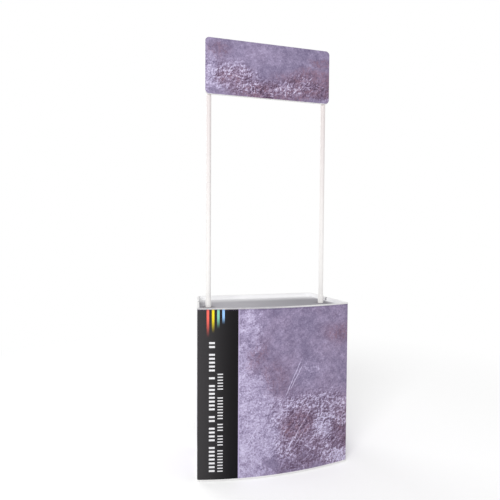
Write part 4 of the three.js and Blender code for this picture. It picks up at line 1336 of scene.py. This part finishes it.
def studioFloor():
    ring = arc((0, 0), studio["floorRadius"], 0, 2 * pi, facets["floor"])[:-1]
    shape = bmesh.new()
    shape.faces.new([shape.verts.new(point) for point in level(ring, 0)])
    piece = linked("studioFloor", meshOf(shape))
    recipe = Recipe("pale floor")
    where = recipe.place()
    speck = recipe.noise(where, *studio["specks"]) - 0.5
    seen = seenRays(recipe)
    far = seen * recipe.rise(recipe.vector("LENGTH", where, out="Value"), *studio["fade"])
    matt = recipe.add("ShaderNodeBsdfDiffuse", None, {"Color": studio["albedo"], "Roughness": studio["matt"]})
    glow = seen * (studio["glow"] + studio["speckGlow"] * speck)
    glow = recipe.add("ShaderNodeEmission", None, {"Strength": glow})
    plain = recipe.add("ShaderNodeAddShader", None, {0: matt, 1: glow})
    clear = recipe.add("ShaderNodeEmission", None, {"Strength": 1})
    mixed = recipe.add("ShaderNodeMixShader", None, {0: far, 1: plain, 2: clear})
    recipe.add("ShaderNodeOutputMaterial", None, {"Surface": mixed})
    piece.data.materials.append(recipe.owner)


def studioLight():
    world = bpy.data.worlds.new("studio")
    bpy.context.scene.world = world
    recipe = Recipe("studio", world)
    sky, clear = (
        recipe.add("ShaderNodeBackground", None, {"Color": (1, 1, 1, 1), "Strength": strength})
        for strength in (studio["sky"], 1)
    )
    mixed = recipe.add("ShaderNodeMixShader", None, {0: seenRays(recipe), 1: sky, 2: clear})
    recipe.add("ShaderNodeOutputWorld", None, {"Surface": mixed})
    for name, place, size, share in studio["lamps"]:
        lamp = bpy.data.lights.new(name, "AREA")
        lamp.shape = "RECTANGLE"
        lamp.size, lamp.size_y = size
        towards = Vector(studio["aim"]) - Vector(place)
        lamp.energy = share * pi**2 * towards.length_squared  # gives this share of a plain level at the aim
        holder = linked(name, lamp)
        holder.location = place
        holder.rotation_euler = towards.to_track_quat("-Z", "Y").to_euler()


view = {
    "place": (-0.6628, -2.1903, 1.2053), "yaw": 0.2546, "pitch": -0.0366, "roll": 0.0058,
    "focal": 422.68, "frame": 500, "sensor": 36,  # focal length and frame in pixels, sensor in millimetres
}


def studioCamera():
    lens = bpy.data.cameras.new("camera")
    lens.sensor_width = view["sensor"]
    lens.lens = view["focal"] / view["frame"] * view["sensor"]
    holder = linked("camera", lens)
    yaw, pitch, roll = view["yaw"], view["pitch"], view["roll"]
    ahead = Vector((sin(yaw) * cos(pitch), cos(yaw) * cos(pitch), sin(pitch)))
    right = Vector((cos(yaw), -sin(yaw), 0))
    up = right.cross(ahead)
    right, up = right * cos(roll) + up * sin(roll), up * cos(roll) - right * sin(roll)
    turn = Matrix((right, up, -ahead)).transposed().to_4x4()
    holder.matrix_world = Matrix.Translation(view["place"]) @ turn
    bpy.context.scene.camera = holder


studioFloor()
studioLight()
studioCamera()
bpy.context.scene.view_settings.view_transform = "Standard"
print("floor, lamps and camera made")
